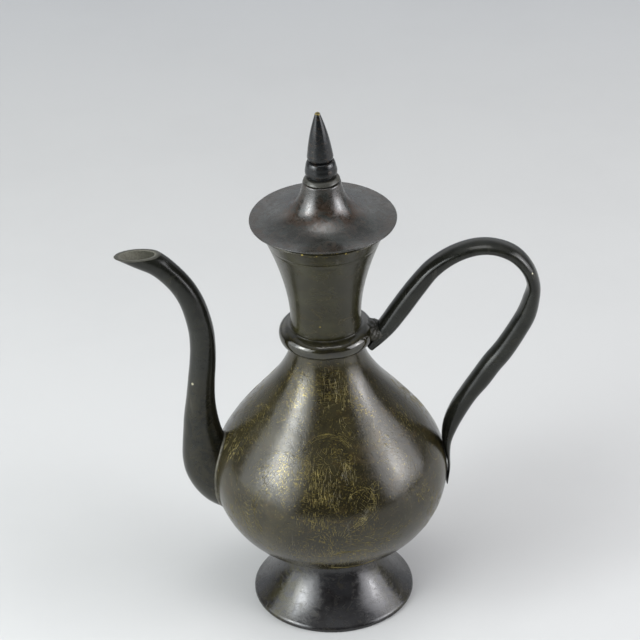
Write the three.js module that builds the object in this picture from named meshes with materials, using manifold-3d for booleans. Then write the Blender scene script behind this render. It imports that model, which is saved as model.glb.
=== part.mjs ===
// Long-spouted coffee pot in patinated brass: a pear-shaped body of two brazed bowls on a trumpet
// foot, a flared neck with a collar ring, a swan-neck spout, a flattened bow handle, and a lift-off
// lid with a turned finial. Millimetres, +Z up. The origin is on the table, under the pot's axis.
// The spout points along -X and the handle along +X.
import * as THREE from 'three';
import { mergeVertices } from 'three/addons/utils/BufferGeometryUtils.js';
import Module from 'manifold-3d';

const wasm = await Module();
wasm.setup();

// Clearances
const brazeGap = 0.3; // between two pieces that are brazed together
const lidSeatGap = 0.3; // between the lid's underside and the neck's rim
const bezelClearance = 0.5; // all round the lid's bezel, inside the flared neck
const finialGap = 0.4; // under the leaning finial, and over its washer
const studClearance = 0.3; // all round the finial's stud, in the pieces on it

// Body
const bellyRadius = 53.2;
const bellyHeight = 68; // height of the widest line, where the two bowls are brazed
const bowlDepth = 44; // from the widest line down to the outside of the bottom
const bodyTop = 139.5; // where the upper bowl ends and the neck begins
const bodyWall = 1.2;

// Foot
const footRadius = 36.9;
const footWaist = 20.2; // outer radius where the foot meets the bowl
const footRimHeight = 1.8;
const footRimWidth = 2.4;
const footWall = 1.2;
const footFlare = 1.75; // power of the trumpet curve

// Neck
const neckRadius = 15.7;
const neckStraight = 10.5; // length of the straight throat before the flare
const neckTop = 197.7;
const neckMouth = 29; // outer radius at the top
const neckWall = 1.2;
const neckFlare = 1.75; // power of the flare's curve
const rimWire = 1; // thickness of the ring round the neck's mouth

// Collar ring between body and neck
const collarRadius = 21.1;
const collarBottom = 137.5;
const collarHeight = 8;
// Its edge, as [distance in from the widest line, share of the height]
const collarEdge = [[1, 0], [0.5, 0.2], [0, 0.38], [0.3, 0.56], [1.4, 0.7]];
const collarLip = 1.5; // width of the upright lip that rises to the neck
const collarLipRise = 0.8; // its height

// Spout
const spoutReach = 27.8; // from the belly out to the middle of the mouth
const spoutMouthHeight = 182.4;
const spoutMouthSlope = 2.3; // degrees by which the mouth's cut rises toward the pot
const spoutMouthRadius = 5.5;
const spoutThroatRadius = 5.1; // smallest, just below the mouth
const spoutShaftRadius = 5.9; // halfway up
const spoutRootRadius = 13.9; // of the swelling at the foot of the spout, seen from the side
const spoutRootWidth = 11.4; // half the width of the same swelling, seen from the front
const spoutWall = 1.5;
const strainerHole = 2; // radius of each hole through the bowl behind the spout
const strainerPitch = 6.2;
const strainerDrop = 12; // middle hole, below the widest line
const strainerHolesAround = 6;

// Handle
const handleReach = 38.3; // from the belly out to the middle of the bar, at its widest bend
const handleTop = 181.9; // height of the middle of the bar at the top of the bow
const handleWidth = 11; // across the bar
const handleTailEnd = 59.5; // height at which the tail ends on the body
const handleTailThickness = 1.2;
const handleSquareness = 1.35; // how far the bar's oval section is squared off, 1 being an oval

// Braze fillets
const filletWidth = 1.1; // how far a fillet stands out from the piece it holds
const filletHeight = 0.9; // how far it stands up from the body

// Lid
const lidOverhang = 3.1; // how far the edge stands out past the neck's mouth
const lidEdge = 0.2; // how far the underside of the edge is chamfered in
const lidWall = 0.8;
const crownRadius = 8.15; // flat top of the lid, under the finial
const crownRise = 18.6; // from the rim's top face up to the flat top
const lidCurve = 4; // radius at which the curve of the lid would rise without end
const bezelDepth = 9; // how far the bezel hangs below the neck's top
const bezelWall = 1;

// Finial
const finialLean = 1.7; // degrees toward the spout
const seatRadius = 7.95;
const seatHeight = 1.9;
const seatSide = [[0.1, 0], [0, 0.16], [0.4, 0.55], [0.9, 1]]; // as collarEdge
const beadRadius = 7;
const beadHeight = 7.6;
const beadSide = [[1.2, 0], [0.3, 0.12], [0, 0.32], [0.4, 0.62], [0.9, 0.92], [1.8, 1]];
const spikeRadius = 5.7;
const spikeHeight = 22.5;
const spikeBase = 1.6; // height of the widest line, above the bottom
const spikeFoot = 0.5; // how far the bottom is drawn in from the widest line
const spikeBulge = 0.55; // how far the sides stand out from a true cone
const spikeTip = 1.2;
const spikeTipHeight = 0.8; // height of the rounded end
const studRadius = 1.5;
const studIntoSpike = 10;
const studBelowNut = 1;
const washerRadius = 4;
const washerThickness = 0.8;
const washerSide = [[0, 0], [0, 1]];
const nutRadius = 3.2; // to the corners
const nutHeight = 2.4;

// Fineness of the facets
const bodySides = 40;
const neckSides = 36;
const finialSides = 20;
const spoutSides = 16;
const spoutSteps = 30;
const handleSides = 12;
const handleSteps = 48;

const darkBrass = { metalness: 0.7, roughness: 0.42 };
const finishes = {
  body: new THREE.MeshStandardMaterial({ color: 0x4a4534, ...darkBrass }),
  neck: new THREE.MeshStandardMaterial({ color: 0x45412f, ...darkBrass }),
  foot: new THREE.MeshStandardMaterial({ color: 0x26272a, ...darkBrass }),
  bar: new THREE.MeshStandardMaterial({ color: 0x23241f, ...darkBrass }),
  lid: new THREE.MeshStandardMaterial({ color: 0x37322f, ...darkBrass }),
  braze: new THREE.MeshStandardMaterial({ color: 0x6b6656, metalness: 0.7, roughness: 0.55 }),
  hardware: new THREE.MeshStandardMaterial({ color: 0xa5884a, metalness: 0.9, roughness: 0.4 }),
};

const point = (radius, height) => new THREE.Vector2(radius, height);

// Turns an outline of radius and height about the Z axis.
function turned(outline, sides) {
  return new THREE.LatheGeometry(outline, sides).rotateX(Math.PI / 2);
}

// A turned piece whose outline goes round and comes back to its first point.
function turnedRing(outline, sides) {
  return turned([...outline, outline[0]], sides);
}

// Outline points of height-to-radius function, from one height to another.
function outlineOf(radiusAt, from, to, steps) {
  const points = [];
  for (let i = 0; i <= steps; i += 1) {
    const height = THREE.MathUtils.lerp(from, to, i / steps);
    points.push(point(radiusAt(height), height));
  }
  return points;
}

// Moves an outline outward by a distance along its own normals.
function offsetOutline(outline, distance) {
  return outline.map((here, i) => {
    const before = outline[Math.max(i - 1, 0)];
    const after = outline[Math.min(i + 1, outline.length - 1)];
    const along = after.clone().sub(before).normalize();
    return point(Math.max(here.x + along.y * distance, 0), here.y - along.x * distance);
  });
}

// Closed geometry to manifold solid.
function toSolid(geometry) {
  const bare = geometry.clone();
  bare.deleteAttribute('normal');
  bare.deleteAttribute('uv');
  const merged = mergeVertices(bare, 1e-4);
  const corners = merged.index.array;
  const triangles = [];
  for (let i = 0; i < corners.length; i += 3) {
    const [a, b, c] = corners.slice(i, i + 3);
    if (a !== b && b !== c && c !== a) triangles.push(a, b, c);
  }
  return new wasm.Manifold(new wasm.Mesh({
    numProp: 3,
    vertProperties: new Float32Array(merged.attributes.position.array),
    triVerts: new Uint32Array(triangles),
  }));
}

// Manifold solid back to geometry.
function toGeometry(solid) {
  const mesh = solid.getMesh();
  const geometry = new THREE.BufferGeometry();
  geometry.setAttribute('position', new THREE.BufferAttribute(mesh.vertProperties, 3));
  geometry.setIndex(new THREE.BufferAttribute(mesh.triVerts, 1));
  geometry.computeVertexNormals();
  return geometry;
}

// Carries a rounded section along a curve in the XZ plane. sizeAt(t) gives the section's half
// thickness in that plane and its half width along Y, and corner squares the oval off above 1.
function swept(curve, steps, sides, sizeAt, corner = 1) {
  const positions = [];
  const triangles = [];
  const across = new THREE.Vector3(0, 1, 0);
  for (let i = 0; i <= steps; i += 1) {
    const t = i / steps;
    const centre = curve.getPoint(t);
    const inPlane = new THREE.Vector3().crossVectors(across, curve.getTangent(t));
    const [thick, wide] = sizeAt(t);
    for (let j = 0; j < sides; j += 1) {
      const angle = (j / sides) * 2 * Math.PI;
      const u = Math.sign(Math.cos(angle)) * Math.abs(Math.cos(angle)) ** (1 / corner);
      const v = Math.sign(Math.sin(angle)) * Math.abs(Math.sin(angle)) ** (1 / corner);
      const corner3 = centre.clone().addScaledVector(inPlane, thick * u);
      corner3.addScaledVector(across, wide * v);
      positions.push(...corner3.toArray());
      const next = (j + 1) % sides;
      if (i < steps) {
        const [a, b] = [i * sides + j, i * sides + next];
        triangles.push(a, b, a + sides, b, b + sides, a + sides);
      }
    }
  }
  for (let j = 1; j < sides - 1; j += 1) {
    const last = steps * sides;
    triangles.push(0, j + 1, j, last, last + j, last + j + 1);
  }
  const geometry = new THREE.BufferGeometry();
  geometry.setAttribute('position', new THREE.Float32BufferAttribute(positions, 3));
  geometry.setIndex(triangles);
  return geometry;
}

// A smooth function through [place, value] pairs, place running from 0 to 1.
function graded(pairs) {
  return (t) => {
    let i = 0;
    while (i < pairs.length - 2 && t > pairs[i + 1][0]) i += 1;
    const [from, to] = [pairs[i], pairs[i + 1]];
    const share = THREE.MathUtils.smoothstep(t, from[0], to[0]);
    return THREE.MathUtils.lerp(from[1], to[1], share);
  };
}

// Body: the lower bowl is half an ellipse, the upper bowl a raised cosine into the neck.
function bodyRadiusAt(height) {
  if (height <= bellyHeight) {
    const drop = (bellyHeight - height) / bowlDepth;
    return bellyRadius * Math.sqrt(Math.max(1 - drop ** 2, 0));
  }
  const share = Math.min((height - bellyHeight) / (bodyTop - bellyHeight), 1);
  return neckRadius + (bellyRadius - neckRadius) * Math.cos((share * Math.PI) / 2) ** 2;
}

function bowlArc(inset, steps) {
  const points = [];
  for (let i = 0; i <= steps; i += 1) {
    const angle = ((i / steps) * Math.PI) / 2;
    const radius = (bellyRadius - inset) * Math.sin(angle);
    points.push(point(radius, bellyHeight - (bowlDepth - inset) * Math.cos(angle)));
  }
  return points;
}

function bodyFilled(offset) {
  const below = bowlArc(-offset, 12);
  const above = offsetOutline(outlineOf(bodyRadiusAt, bellyHeight, bodyTop, 16), offset).slice(1);
  return toSolid(turned([...below, ...above, point(0, bodyTop)], bodySides));
}

function lowerBowl() {
  const outline = [...bowlArc(0, 9), ...bowlArc(bodyWall, 8).reverse()];
  let bowl = toSolid(turned(outline, bodySides));
  const drillLength = bellyRadius;
  const holes = [[0, 0]];
  for (let i = 0; i < strainerHolesAround; i += 1) {
    const angle = (i / strainerHolesAround) * 2 * Math.PI;
    holes.push([strainerPitch * Math.cos(angle), strainerPitch * Math.sin(angle)]);
  }
  for (const [across, up] of holes) {
    const drill = new THREE.CylinderGeometry(strainerHole, strainerHole, drillLength, 10);
    drill.rotateZ(Math.PI / 2);
    drill.translate(-bellyRadius, across, bellyHeight - strainerDrop + up);
    bowl = bowl.subtract(toSolid(drill));
  }
  return toGeometry(bowl);
}

function upperBowl() {
  const outer = outlineOf(bodyRadiusAt, bellyHeight + brazeGap, bodyTop, 13);
  return turnedRing([...outer, ...offsetOutline(outer, -bodyWall).reverse()], bodySides);
}

// Foot: a rim, then a trumpet curve up to the underside of the bowl.
const footTop = bellyHeight - bowlDepth * Math.sqrt(1 - (footWaist / bellyRadius) ** 2) - brazeGap;

function footRadiusAt(height) {
  const share = 1 - (height - footRimHeight) / (footTop - footRimHeight);
  return footWaist + (footRadius - footWaist) * Math.max(share, 0) ** footFlare;
}

function foot() {
  const outer = outlineOf(footRadiusAt, footRimHeight, footTop, 8);
  const innerWaist = footWaist - footWall;
  const drop = bellyHeight - bowlDepth * Math.sqrt(1 - (innerWaist / bellyRadius) ** 2) - brazeGap;
  const inner = outlineOf((h) => footRadiusAt(h) - footWall, footRimHeight * 2, drop, 7);
  const rim = [point(footRadius - footRimWidth, 0), point(footRadius, 0)];
  return turnedRing([...rim, ...outer, ...inner.reverse()], bodySides);
}

// Neck: a straight throat, then a flare to the mouth.
const neckBottom = bodyTop + brazeGap;

function neckRadiusAt(height) {
  const start = bodyTop + neckStraight;
  const share = Math.max((height - start) / (neckTop - start), 0);
  return neckRadius + (neckMouth - neckRadius) * share ** neckFlare;
}

function neck() {
  const outer = outlineOf(neckRadiusAt, neckBottom, neckTop, 10);
  const inner = outer.map((here) => point(here.x - neckWall, here.y));
  return turnedRing([...outer, ...inner.reverse()], neckSides);
}

function roundRing(middle, height, thickness) {
  const outline = [];
  for (let i = 0; i < 8; i += 1) {
    const angle = ((i + 0.5) / 8) * 2 * Math.PI;
    const radius = middle + (thickness / 2) * Math.cos(angle);
    outline.push(point(radius, height + (thickness / 2) * Math.sin(angle)));
  }
  return turnedRing(outline, neckSides);
}

const rimRadius = neckMouth + brazeGap + rimWire / 2; // to the middle of the ring's wire

function neckRim() {
  return roundRing(rimRadius, neckTop - rimWire / 2, rimWire);
}

// Collar: a flat lip below, a rounded edge, and a slope that rises to the neck.
function collarOutline(offset) {
  const top = collarBottom + collarHeight;
  const innerBottom = bodyRadiusAt(collarBottom) + brazeGap;
  const innerTop = neckRadius + brazeGap;
  const edge = collarEdge.map(([inward, share]) => (
    point(collarRadius - inward + offset, collarBottom + collarHeight * share)));
  edge[0].y -= offset;
  edge[edge.length - 1].y += offset;
  const lip = point(innerTop + collarLip, top - collarLipRise + offset);
  return [point(innerBottom, collarBottom - offset), ...edge, lip, point(innerTop, top + offset)];
}

function collarRing() {
  return turnedRing(collarOutline(0), neckSides);
}

function collarFilled(offset) {
  const outline = collarOutline(offset);
  const [first, last] = [outline[0], outline[outline.length - 1]];
  return toSolid(turned([point(0, first.y), ...outline, point(0, last.y)], neckSides));
}

// Spout: from inside the bowl, out through its side, up along it and over to the mouth. Each
// point is [share of the way from the belly to the mouth, share of the height], and both shares
// are below zero inside the bowl.
const spoutShares = [
  [-0.69, -0.096], [-0.4, -0.072], [-0.18, -0.04], [-0.02, 0.018], [0.075, 0.078],
  [0.13, 0.14], [0.155, 0.205], [0.16, 0.27], [0.145, 0.345], [0.115, 0.43], [0.08, 0.51],
  [0.065, 0.58], [0.075, 0.65], [0.13, 0.727], [0.21, 0.793], [0.34, 0.857], [0.515, 0.913],
  [0.715, 0.96], [1.0, 0.999], [1.4, 1.055],
];

function spoutCurve() {
  const rise = spoutMouthHeight - bellyHeight;
  const places = spoutShares.map(([out, up]) => (
    new THREE.Vector3(-(bellyRadius + spoutReach * out), 0, bellyHeight + rise * up)));
  return new THREE.CatmullRomCurve3(places, false, 'centripetal');
}

const spoutRadiusAt = graded([
  [0, spoutRootRadius - 1.3], [0.12, spoutRootRadius], [0.18, spoutRootRadius - 0.6],
  [0.3, (spoutRootRadius + 2 * spoutShaftRadius) / 3], [0.45, spoutShaftRadius + 0.2],
  [0.6, spoutShaftRadius - 0.2], [0.85, spoutThroatRadius], [0.95, spoutMouthRadius], [1, spoutMouthRadius],
]);

const rootSlimness = spoutRootWidth / spoutRootRadius;
const spoutSlimnessAt = graded([[0, rootSlimness], [0.2, rootSlimness], [0.4, 1], [1, 1]]);

function spoutFilled(offset) {
  const size = (t) => [spoutRadiusAt(t) + offset, spoutRadiusAt(t) * spoutSlimnessAt(t) + offset];
  return toSolid(swept(spoutCurve(), spoutSteps, spoutSides, size));
}

function aboveMouth() {
  const size = 2 * spoutMouthHeight;
  const block = new THREE.BoxGeometry(size, size, size).translate(0, 0, size / 2);
  block.rotateY(THREE.MathUtils.degToRad(-spoutMouthSlope));
  return toSolid(block.translate(-(bellyRadius + spoutReach), 0, spoutMouthHeight));
}

function spout() {
  const tube = spoutFilled(0).subtract(spoutFilled(-spoutWall)).subtract(aboveMouth());
  return toGeometry(tube.subtract(bodyFilled(brazeGap)));
}

function spoutBraze() {
  const outer = spoutFilled(brazeGap + filletWidth).intersect(bodyFilled(brazeGap + filletHeight));
  return toGeometry(outer.subtract(bodyFilled(brazeGap)).subtract(spoutFilled(brazeGap)));
}

// Handle: from the collar up over the bow and down to a thin tail that lies on the belly. Each
// station is its place outward, its height and the bar's thickness there.
function handleStations() {
  const out = (share) => collarRadius + (bellyRadius + handleReach - collarRadius) * share;
  const up = (share) => bodyTop + (handleTop - bodyTop) * share;
  const beyond = (share) => bellyRadius + handleReach * share;
  const down = (share) => bellyHeight + (handleTop - bellyHeight) * share;
  const onBody = (height) => bodyRadiusAt(height) + brazeGap + handleTailThickness / 2;
  return [
    [out(-0.028), up(-0.14), 5.2], [out(0.025), up(-0.04), 7], [out(0.086), up(0.085), 8.3],
    [out(0.17), up(0.29), 9], [out(0.274), up(0.545), 8.7], [out(0.375), up(0.758), 7.8],
    [out(0.505), up(0.915), 6.8], [out(0.642), up(0.993), 6.2], [out(0.76), up(0.985), 6],
    [out(0.876), up(0.895), 6.4], [out(0.962), up(0.72), 6], [out(1), up(0.515), 6],
    [out(0.985), up(0.33), 7.5], [out(0.956), up(0.16), 8.5], [beyond(0.825), down(0.623), 8.8],
    [beyond(0.665), down(0.53), 9.2], [beyond(0.52), down(0.463), 9.3],
    [beyond(0.4), down(0.4), 9.2], [beyond(0.265), down(0.334), 8.3],
    [beyond(0.136), down(0.258), 8.1], [beyond(0.043), down(0.183), 6.9],
    [beyond(0), down(0.115), 4.6], [onBody(bellyHeight + 5), bellyHeight + 5, 2],
    [onBody(bellyHeight), bellyHeight, handleTailThickness],
    [onBody(handleTailEnd), handleTailEnd, handleTailThickness],
  ];
}

function handleFilled(offset) {
  const stations = handleStations();
  const places = stations.map(([x, z]) => new THREE.Vector3(x, 0, z));
  const curve = new THREE.CatmullRomCurve3(places, false, 'centripetal');
  const thicknessAt = graded(stations.map((row, i) => [i / (stations.length - 1), row[2]]));
  const size = (t) => [thicknessAt(t) / 2 + offset, handleWidth / 2 + offset];
  return toSolid(swept(curve, handleSteps, handleSides, size, handleSquareness));
}

function clearOfPot(solid) {
  return solid.subtract(bodyFilled(brazeGap)).subtract(collarFilled(brazeGap));
}

function handle() {
  return toGeometry(clearOfPot(handleFilled(0)));
}

// A band of braze round the handle, where it meets a swollen copy of the piece it is brazed to.
function handleBraze(swollenPiece, lowest, highest) {
  const farthest = bellyRadius + handleReach;
  const room = new THREE.BoxGeometry(farthest, 4 * handleWidth, highest - lowest);
  room.translate(farthest / 2, 0, (highest + lowest) / 2);
  const around = handleFilled(brazeGap + filletWidth).subtract(handleFilled(brazeGap));
  return toGeometry(clearOfPot(around.intersect(swollenPiece).intersect(toSolid(room))));
}

function handleUpperBraze() {
  const swollen = collarFilled(brazeGap + filletHeight);
  return handleBraze(swollen, collarBottom - brazeGap - filletHeight, collarBottom + collarHeight);
}

function handleLowerBraze() {
  const swollen = bodyFilled(brazeGap + filletHeight);
  return handleBraze(swollen, handleTailEnd + filletWidth, bodyTop - collarHeight);
}

// Lid: a hyperbola from the flat crown down to the thin rim.
const lidRadius = neckMouth + lidOverhang;
const crownHollow = crownRadius - lidWall; // inner radius under the flat crown
const lidFall = crownRise / (1 / (crownRadius - lidCurve) - 1 / (lidRadius - lidCurve));
const lidShape = (radius) => lidFall * (1 / (radius - lidCurve) - 1 / (lidRadius - lidCurve));
// Height from the lid's underside to its top face, where it slopes
const lidUpright = (radius) => lidWall * Math.hypot(1, lidFall / (radius - lidCurve) ** 2);
const lidRimTop = neckTop + lidSeatGap + lidUpright(rimRadius) - lidShape(rimRadius);
const crownTop = lidRimTop + crownRise;

function lidCap() {
  const outer = [];
  const steps = 10;
  for (let i = 0; i <= steps; i += 1) {
    const share = Math.sin((i / steps) * Math.PI / 2); // closer together near the steep crown
    const radius = THREE.MathUtils.lerp(lidRadius, crownRadius, share);
    outer.push(point(radius, lidRimTop + lidShape(radius)));
  }
  const inner = offsetOutline(outer, -lidWall);
  inner[inner.length - 1] = point(crownHollow, crownTop - lidWall);
  inner[0] = point(lidRadius - lidEdge, lidRimTop - lidWall);
  const hole = studRadius + finialGap;
  const middle = [point(hole, crownTop), point(hole, crownTop - lidWall)];
  return turnedRing([...outer, ...middle, ...inner.reverse()], bodySides);
}

function lidBezel() {
  const bottom = neckTop - bezelDepth;
  const radius = neckRadiusAt(bottom) - neckWall - bezelClearance;
  const underside = (at) => lidRimTop + lidShape(at) - lidUpright(at) - brazeGap;
  return turnedRing([
    point(radius - bezelWall, bottom), point(radius, bottom),
    point(radius, underside(radius)), point(radius - bezelWall, underside(radius)),
  ], neckSides);
}

// Finial: pieces threaded on a stud, one above the other, from the lid's crown upward.
const studBore = studRadius + studClearance;
const seatBottom = finialGap;
const beadBottom = seatBottom + seatHeight + brazeGap;
const spikeBottom = beadBottom + beadHeight + brazeGap;
const washerTop = -lidWall - finialGap;
const nutTop = washerTop - washerThickness - brazeGap;

// A bored, turned piece with a side given as collarEdge is.
function bored(radius, bottom, height, side) {
  const outline = side.map(([inward, share]) => point(radius - inward, bottom + height * share));
  const bore = [point(studBore, bottom), ...outline, point(studBore, bottom + height)];
  return turnedRing(bore, finialSides);
}

function finialSpike() {
  const outline = [
    point(studBore, spikeBottom), point(spikeRadius - spikeFoot, spikeBottom),
    point(spikeRadius, spikeBottom + spikeBase),
  ];
  const steps = 7;
  for (let i = 1; i <= steps; i += 1) {
    const share = i / steps;
    const bulge = spikeBulge * Math.sin(share * Math.PI);
    const radius = THREE.MathUtils.lerp(spikeRadius, spikeTip, share) + bulge;
    const height = THREE.MathUtils.lerp(spikeBase, spikeHeight - spikeTipHeight, share);
    outline.push(point(radius, spikeBottom + height));
  }
  outline.push(point(0, spikeBottom + spikeHeight));
  const hollowTop = spikeBottom + studIntoSpike + brazeGap;
  const hollow = [point(0, hollowTop), point(studBore, hollowTop)];
  return turned([...hollow, ...outline], finialSides);
}

function finialStud() {
  const bottom = nutTop - nutHeight - studBelowNut;
  const length = spikeBottom + studIntoSpike - bottom;
  const rod = new THREE.CylinderGeometry(studRadius, studRadius, length, 12);
  return rod.rotateX(Math.PI / 2).translate(0, 0, bottom + length / 2);
}

function finialNut() {
  const outline = new THREE.Shape();
  for (let i = 0; i < 6; i += 1) {
    const angle = (i / 6) * 2 * Math.PI;
    const [x, y] = [nutRadius * Math.cos(angle), nutRadius * Math.sin(angle)];
    if (i === 0) outline.moveTo(x, y);
    else outline.lineTo(x, y);
  }
  outline.closePath();
  const bore = new THREE.Path().absarc(0, 0, studBore, 0, 2 * Math.PI, true);
  outline.holes.push(bore);
  const prism = new THREE.ExtrudeGeometry(outline, {
    depth: nutHeight, bevelEnabled: false, curveSegments: 6,
  });
  return prism.translate(0, 0, nutTop - nutHeight);
}

const pot = new THREE.Group();

function place(parent, name, geometry, finish) {
  const mesh = new THREE.Mesh(geometry, finish);
  mesh.name = name;
  parent.add(mesh);
}

place(pot, 'foot', foot(), finishes.foot);
place(pot, 'lower_bowl', lowerBowl(), finishes.body);
place(pot, 'upper_bowl', upperBowl(), finishes.body);
place(pot, 'neck', neck(), finishes.neck);
place(pot, 'neck_rim', neckRim(), finishes.neck);
place(pot, 'collar_ring', collarRing(), finishes.neck);
place(pot, 'spout', spout(), finishes.bar);
place(pot, 'spout_braze', spoutBraze(), finishes.braze);
place(pot, 'handle', handle(), finishes.bar);
place(pot, 'handle_upper_braze', handleUpperBraze(), finishes.braze);
place(pot, 'handle_lower_braze', handleLowerBraze(), finishes.braze);
place(pot, 'lid_cap', lidCap(), finishes.lid);
place(pot, 'lid_bezel', lidBezel(), finishes.hardware);

const finial = new THREE.Group();
finial.position.set(0, 0, crownTop);
finial.rotation.y = THREE.MathUtils.degToRad(-finialLean);
pot.add(finial);
const seat = bored(seatRadius, seatBottom, seatHeight, seatSide);
const bead = bored(beadRadius, beadBottom, beadHeight, beadSide);
const washer = bored(washerRadius, washerTop - washerThickness, washerThickness, washerSide);
place(finial, 'finial_seat', seat, finishes.lid);
place(finial, 'finial_bead', bead, finishes.lid);
place(finial, 'finial_spike', finialSpike(), finishes.lid);
place(finial, 'finial_stud', finialStud(), finishes.hardware);
place(finial, 'finial_washer', washer, finishes.hardware);
place(finial, 'finial_nut', finialNut(), finishes.hardware);

export default pot;
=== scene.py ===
import math

import bpy
import numpy as np
from mathutils import Matrix, Vector


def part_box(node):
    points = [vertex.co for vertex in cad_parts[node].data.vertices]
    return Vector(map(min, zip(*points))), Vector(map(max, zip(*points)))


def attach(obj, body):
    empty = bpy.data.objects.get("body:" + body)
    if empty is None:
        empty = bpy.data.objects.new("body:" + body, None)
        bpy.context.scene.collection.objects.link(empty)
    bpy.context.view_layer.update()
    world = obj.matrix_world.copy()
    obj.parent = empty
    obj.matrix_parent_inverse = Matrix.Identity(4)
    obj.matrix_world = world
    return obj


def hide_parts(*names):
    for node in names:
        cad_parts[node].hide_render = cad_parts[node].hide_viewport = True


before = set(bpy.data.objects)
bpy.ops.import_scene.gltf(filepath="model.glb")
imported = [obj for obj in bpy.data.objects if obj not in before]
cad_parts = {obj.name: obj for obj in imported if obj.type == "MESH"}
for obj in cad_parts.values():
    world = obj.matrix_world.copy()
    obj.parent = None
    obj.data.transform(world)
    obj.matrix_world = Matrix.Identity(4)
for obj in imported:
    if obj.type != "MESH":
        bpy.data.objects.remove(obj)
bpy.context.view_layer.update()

# A long-spouted coffee pot in patinated brass. Shapes are worked out in millimetres from the boxes
# of the loaded frame and turned into metres when a mesh is made. The spout points along -X, the
# front is -Y, and angles go round from the front toward +X.
millimetre = 0.001

# Small bare nicks, and on the front of the neck rim bare brass spots that also stand in for glints (partly
# wear, partly painted glints): where the middle is, and the radius.
nicksAndGlints = [
    ((-60.3, -4.6, 117.6), 0.75), ((90.6, -4.8, 170.0), 0.5), ((-2.7, -15.6, 152.6), 0.4),
    # These three on the front of the neck rim are painted glints as well as wear: bare brass set where the
    # rim catches the light.
    ((-9.2, -28.9, 197.3), 0.6), ((9.3, -28.8, 197.3), 0.5), ((-3, -30.2, 197.2), 0.35),
    ((-47, -22, 61), 0.5), ((24, 49, 78), 0.6),
]


def boxOf(node):
    low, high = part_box(node)
    return np.array(low) / millimetre, np.array(high) / millimetre


def radiusOf(points):
    return np.hypot(points[..., 0], points[..., 1])


def degreesRound(points):
    return np.degrees(np.arctan2(points[..., 0], -points[..., 1]))


def ringAngles(columns):
    return np.arange(columns) / columns * 2 * np.pi


def lengthAlong(line):
    return np.concatenate([[0], np.cumsum(np.linalg.norm(np.diff(line, axis=0), axis=1))])


def flowAlong(run, angle, ring=4):
    # The grain's own coordinates: the length along the piece, then a small ring round it.
    run = np.asarray(run)[:, None] + 0 * angle
    return np.stack([run, ring * np.sin(angle) + 0 * run, ring * np.cos(angle) + 0 * run], -1)


def setAttribute(mesh, name, kind, field, values):
    layer = mesh.attributes.new(name, kind, "POINT")
    layer.data.foreach_set(field, values.astype(np.float32).ravel())


def addPiece(name, mesh, body, material, nodes=()):
    piece = bpy.data.objects.new(name, mesh)
    bpy.context.scene.collection.objects.link(piece)
    mesh.materials.append(material)
    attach(piece, body)
    if nodes:
        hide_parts(*nodes)


def gridPiece(name, points, body, material, nodes, loop=True, grain=None, marks=None):
    # A closed surface from a grid of points, rows x columns x 3. Columns go round and meet. Rows
    # run along the piece and meet too if loop is true, and if not, each end is closed by a fan to
    # the middle of its row. Faces are turned outward by the sign of the volume.
    rows, columns = points.shape[:2]
    index = np.arange(rows * columns).reshape(rows, columns)
    upper = index if loop else index[:-1]
    lower = np.roll(index, -1, axis=0) if loop else index[1:]
    quads = np.stack([upper, np.roll(upper, -1, 1), np.roll(lower, -1, 1), lower], -1).reshape(-1, 4)
    grain = points if grain is None else grain
    coords, flow = points.reshape(-1, 3), grain.reshape(-1, 3)
    ends = [] if loop else [0, rows - 1]
    fans = []
    for row in ends:
        ring = index[row] if row else index[row][::-1]
        fans.append(np.stack([ring, np.roll(ring, -1), np.full(columns, len(coords))], -1))
        coords = np.vstack([coords, points[row].mean(0)])
        flow = np.vstack([flow, grain[row].mean(0)])
    triangles = np.vstack(fans) if fans else np.zeros((0, 3), int)
    split = np.vstack([quads[:, :3], quads[:, [0, 2, 3]], triangles])
    a, b, c = (coords[split[:, k]] for k in range(3))
    if np.einsum("ij,ij->i", a, np.cross(b, c)).sum() < 0:
        quads, triangles = quads[:, ::-1], triangles[:, ::-1]
    corners = np.concatenate([quads.ravel(), triangles.ravel()])
    sizes = np.concatenate([np.full(len(quads), 4), np.full(len(triangles), 3)])
    mesh = bpy.data.meshes.new(name)
    mesh.vertices.add(len(coords))
    mesh.vertices.foreach_set("co", (coords * millimetre).astype(np.float32).ravel())
    mesh.loops.add(len(corners))
    mesh.loops.foreach_set("vertex_index", corners.astype(np.int32))
    mesh.polygons.add(len(sizes))
    mesh.polygons.foreach_set("loop_start", (np.cumsum(sizes) - sizes).astype(np.int32))
    mesh.update(calc_edges=True)
    mesh.polygons.foreach_set("use_smooth", np.ones(len(sizes), bool))
    setAttribute(mesh, "grain", "FLOAT_VECTOR", "vector", flow)
    # The nick mark holds real nicks and the painted glints on the front of the neck rim.
    nickAndGlintAmount = sum(np.exp(-((points - np.array(place)) ** 2).sum(-1) / size ** 2) for place, size in nicksAndGlints)
    for label, values in {**(marks or {}), "nickAndGlint": nickAndGlintAmount}.items():
        flat = np.concatenate([values.reshape(-1), [values[row].mean() for row in ends]])
        setAttribute(mesh, label, "FLOAT", "value", flat)
    mesh.validate()
    addPiece(name, mesh, body, material, nodes)


def softenedLoop(outline, rounds=3):
    # Corner cutting: each round puts two points on each side, a quarter of the way from its ends.
    line = np.asarray(outline, float)
    for _ in range(rounds):
        a, b = line, np.roll(line, -1, 0)
        line = np.stack([0.75 * a + 0.25 * b, 0.25 * a + 0.75 * b], 1).reshape(-1, 2)
    return line


def offsetLine(outline, distance):
    # Moves an outline of radius and height outward along its own normals.
    along = np.gradient(outline, axis=0)
    along /= np.linalg.norm(along, axis=1)[:, None]
    return outline + distance * np.stack([along[:, 1], -along[:, 0]], 1)


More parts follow.
